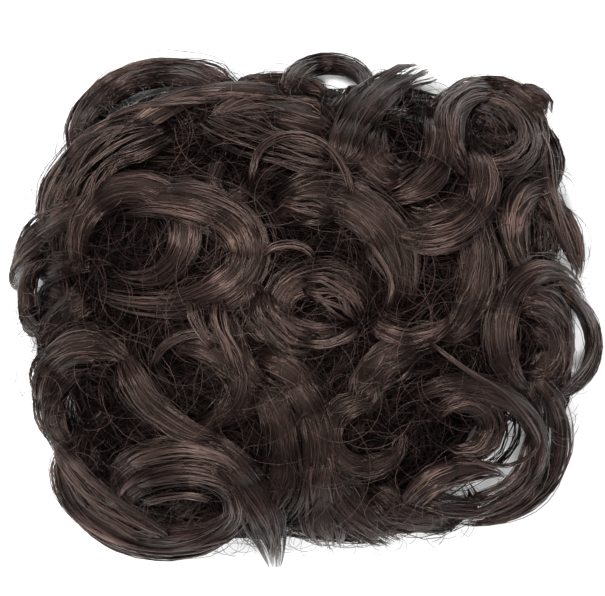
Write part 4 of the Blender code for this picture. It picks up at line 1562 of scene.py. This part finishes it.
# Holes between the outer locks, which show the floor, on the ground plan in millimetres.
# name, x, y, half size across, half size along
HOLES = (
    ("behind_loop", 9.5, 74.9, 9.5, 5.0),
    ("low_right", 69.0, -47.6, 5.4, 4.6),
    ("low_right_lower", 58.6, -58.1, 5.0, 2.6),
    ("right_slit", 94.0, -10.0, 3.0, 10.0),
    ("left_slot", -86.0, 6.6, 3.2, 6.0),
)

# Fine single hairs, by kind. The kinds that lie deep have low shades and the darker finish, as painted shade.
# name, seed, count, spread, edge, sink, radius in mm, sweep, shade, half thickness in mm, in painted shade
LOOSE_HAIR = (
    ("hair_tangle", 41, 320, (0.00, 0.84), 0.93, (0.5, 2.1), (6, 18), (60, 240), (0.02, 0.66), 0.085, True),
    ("hair_nap", 59, 720, (0.00, 0.80), 0.90, (1.7, 2.3), (12, 30), (50, 130), (0.01, 0.38), 0.12, True),
    ("hair_between", 61, 560, (0.00, 0.86), 0.93, (0.6, 1.5), (6, 20), (60, 220), (0.06, 0.72), 0.055, True),
    ("hair_over", 43, 740, (0.00, 0.88), 0.93, (-0.1, 0.8), (6, 20), (50, 180), (0.18, 0.88), 0.055, False),
    ("hair_fuzz", 47, 900, (0.84, 0.95), 0.985, (-0.2, 1.2), (3, 8), (50, 140), (0.20, 0.70), 0.075, False),
)

# Loose trails of hair. Half width: millimetres. Sink: layers under the crown. Trails of the highlight tone
# are painted highlights; those of the shade tone are dark strands put in the gaps as painted shade.
# name, tone, strands, half width, sink, places on the ground plan in millimetres
TRAILS = (
    ("crossing", Tone.WARM, 16, 0.9, -0.2,
     ((40.4, -11.3), (53.6, -21.2), (66.8, -29.4), (76.7, -41.0), (77.1, -47.6), (66.8, -52.5),
      (52.0, -49.2))),
    ("crown_arch", Tone.LIGHT, 22, 1.6, 0.2,
     ((-17.3, 38.2), (-14.7, 49.8), (-7.4, 55.4), (0.8, 55.7), (9.1, 51.4), (14.7, 42.2), (16.3, 33.3))),
    ("ring_arch", Tone.COOL, 18, 0.9, 0.6,
     ((40.4, 65.3), (48.7, 73.2), (57.9, 76.9), (64.2, 74.6), (70.1, 70.6))),
    ("ear_rim", Tone.WARM, 26, 1.6, 0.7,
     ((-70.8, 33.3), (-85.0, 27.7), (-93.9, 20.1), (-98.2, 13.2), (-97.2, 8.5), (-92.6, 7.6))),
    ("left_rim", Tone.COOL, 14, 0.8, 0.4,
     ((-76.0, 54.0), (-82.7, 44.2), (-86.0, 35.6), (-86.5, 26.7))),
    ("right_outlier", Tone.WARM, 24, 1.5, 0.5,
     ((83.3, 11.2), (93.2, 1.9), (98.8, -8.6), (95.5, -18.5), (88.3, -26.1), (81.0, -32.1))),
    ("right_fringe", Tone.WARM, 40, 3.4, 0.6,
     ((73.4, 67.9), (81.0, 54.7), (82.3, 39.9), (86.6, 26.7), (92.2, 14.5))),
    ("low_left_rim", Tone.COOL, 22, 1.6, 0.8,
     ((-79.4, -15.2), (-87.6, -26.1), (-88.9, -36.0), (-84.0, -45.0))),
    ("left_ring_rim", Tone.COOL, 20, 1.4, 0.1,
     ((-49.3, -21.8), (-45.4, -13.9), (-35.5, -9.6), (-24.6, -12.9), (-19.0, -22.8), (-21.3, -32.7),
      (-29.9, -39.3))),
    ("barrel_diagonal", Tone.LIGHT, 90, 6.0, 0.2,
     ((-82.7, -46.0), (-71.8, -58.5), (-60.2, -68.0), (-46.0, -76.5))),
    ("barrel_shelf_upper", Tone.LIGHT, 64, 3.0, 0.0,
     ((-58.0, -52.5), (-50.0, -49.0), (-38.0, -47.6), (-27.0, -49.6), (-21.0, -54.0))),
    ("barrel_shelf_middle", Tone.LIGHT, 46, 2.0, 0.1,
     ((-56.0, -59.5), (-48.0, -56.8), (-38.0, -55.8), (-28.0, -57.5), (-22.0, -61.0))),
    ("barrel_shelf_lower", Tone.COOL, 34, 1.6, 0.4,
     ((-54.0, -65.5), (-46.0, -62.8), (-37.0, -62.2), (-29.0, -64.0))),
    ("crown_band_lit", Tone.LIGHT, 40, 1.7, 0.1,
     ((-67.0, 62.5), (-58.0, 66.0), (-48.0, 67.5), (-38.0, 68.8), (-27.0, 68.6))),
    ("hoop_veil", Tone.WARM, 30, 3.6, 1.0,
     ((70.0, -31.0), (76.0, -39.0), (77.4, -47.6), (74.8, -56.8), (67.0, -63.4), (55.9, -66.7))),
    ("rose_body", Tone.LIGHT, 96, 5.2, -0.1,
     ((0.5, 6.4), (7.0, 5.0), (13.6, 1.4), (18.0, -4.6))),
    ("drop_lit_left", Tone.LIGHT, 34, 2.4, 0.0,
     ((-35.6, 1.6), (-34.8, -4.0), (-32.0, -9.6), (-27.6, -14.4))),
    ("drop_lit_right", Tone.LIGHT, 44, 3.0, -0.1,
     ((-27.0, 2.0), (-27.2, -3.6), (-25.6, -9.6), (-22.4, -16.0), (-19.6, -23.4))),
    ("rose_left", Tone.COOL, 84, 4.8, 0.1,
     ((-12.4, 4.6), (-12.0, -1.5), (-8.6, -7.2), (-2.6, -11.4), (5.0, -12.8))),
    ("rose_lip", Tone.LIGHT, 34, 1.6, -0.2,
     ((-1.5, -12.4), (6.4, -13.0), (13.4, -10.8), (18.6, -7.6))),
    ("hoop_inner", Tone.WARM, 40, 3.2, 0.9,
     ((74.4, -42.3), (74.1, -50.9), (70.1, -56.5), (64.5, -60.4), (55.0, -63.6))),
    ("ring_right", Tone.WARM, 84, 4.6, 0.5,
     ((60.0, 72.0), (68.5, 69.5), (74.5, 62.5), (75.0, 53.5), (69.0, 46.8), (59.0, 46.0))),
    ("ring_deep", Tone.PAINTED_SHADE, 70, 6.5, 1.9,
     ((56.0, 66.5), (63.0, 64.5), (68.5, 59.5), (70.5, 51.0))),
    ("right_deep", Tone.PAINTED_SHADE, 52, 4.5, 1.9,
     ((76.5, 37.0), (80.0, 29.5), (81.5, 22.0), (80.0, 14.5))),
    ("low_right_deep", Tone.PAINTED_SHADE, 52, 3.6, 1.9,
     ((73.5, -21.0), (77.5, -28.5), (79.4, -36.0), (79.8, -44.0), (78.0, -51.5))),
    ("low_right_cover", Tone.DUSK, 50, 4.4, 1.1,
     ((38.0, -63.0), (48.0, -65.8), (58.6, -65.4), (67.5, -60.8))),
    ("rose_warm_edge", Tone.WARM, 22, 1.5, -0.1,
     ((-47.0, 37.9), (-37.1, 37.2), (-28.0, 34.2), (-18.6, 28.4), (-14.0, 20.0))),
    ("swirl_warm_edge", Tone.WARM, 26, 2.6, 0.1,
     ((-8.0, 33.8), (-1.8, 32.4), (4.0, 31.4), (10.4, 28.6))),
    ("ring_left", Tone.WARM, 54, 3.8, 0.3,
     ((48.4, 52.0), (47.4, 61.0), (50.9, 68.0), (57.0, 72.0), (64.0, 73.2))),
    ("gap_arc", Tone.LIGHT, 24, 1.3, 0.2,
     ((-13.5, 15.0), (-10.0, 18.6), (-4.1, 19.6), (1.5, 17.9), (4.5, 14.0))),
    ("swirl_edge", Tone.LIGHT, 20, 0.9, -0.1,
     ((20.5, 21.6), (25.6, 14.4), (28.9, 6.9), (27.2, -2.4))),
    ("left_fan", Tone.COOL, 110, 9.0, 0.9,
     ((-45.0, 58.0), (-60.0, 52.0), (-70.0, 42.0), (-76.0, 30.0))),
    ("hem_brown", Tone.WARM, 36, 2.2, 0.5,
     ((-68.0, -68.0), (-55.0, -77.5), (-38.0, -80.0), (-22.0, -76.0))),
    ("crown_fall", Tone.WARM, 70, 7.0, 1.0,
     ((-32.0, 62.0), (-20.0, 56.0), (-4.0, 50.0), (12.0, 46.0))),
)


def main() -> None:
    """Build the hairpiece and its studio."""
    logging.basicConfig(level=logging.INFO, format="%(message)s")
    crown = CrownForm()
    fibre = HairFibreFinish().build()
    CapAndCombs().dress()
    WeftBed(crown).make(WeftFinish().build())
    shaded = ShadedFibreFinish().build()
    maker = LockMaker(Winder(crown), fibre, PackedFibreFinish().build(), shaded)
    for row in LOCKS:
        name = row[0]
        tone = next((tone for tone, names in TONED_LOCKS.items() if name in names), Tone.COOL)
        curl = Curl(*row, tone=tone, tip=BLUNT_TIPS.get(name, 0.30))
        maker.make(curl)
        if name not in OPEN_LOCKS:
            maker.make_wisps(curl)
    for row in TRAILS:
        maker.make_trail(*row)
    for row in SIDE_LOCKS:
        name, direction, height, *rest = row
        # painted shade: the side locks take the dark tone, as they lie in shade under the crown
        maker.make(Curl(name, direction, height, *rest, lay=Lay.SIDE, tone=Tone.PAINTED_SHADE))
    loose = LooseHair(crown, fibre, shaded, HOLES)
    for row in LOOSE_HAIR:
        loose.make(LooseKind(*row))
    loose.make_skirt()
    Studio().make()


if __name__ == "__main__":
    main()
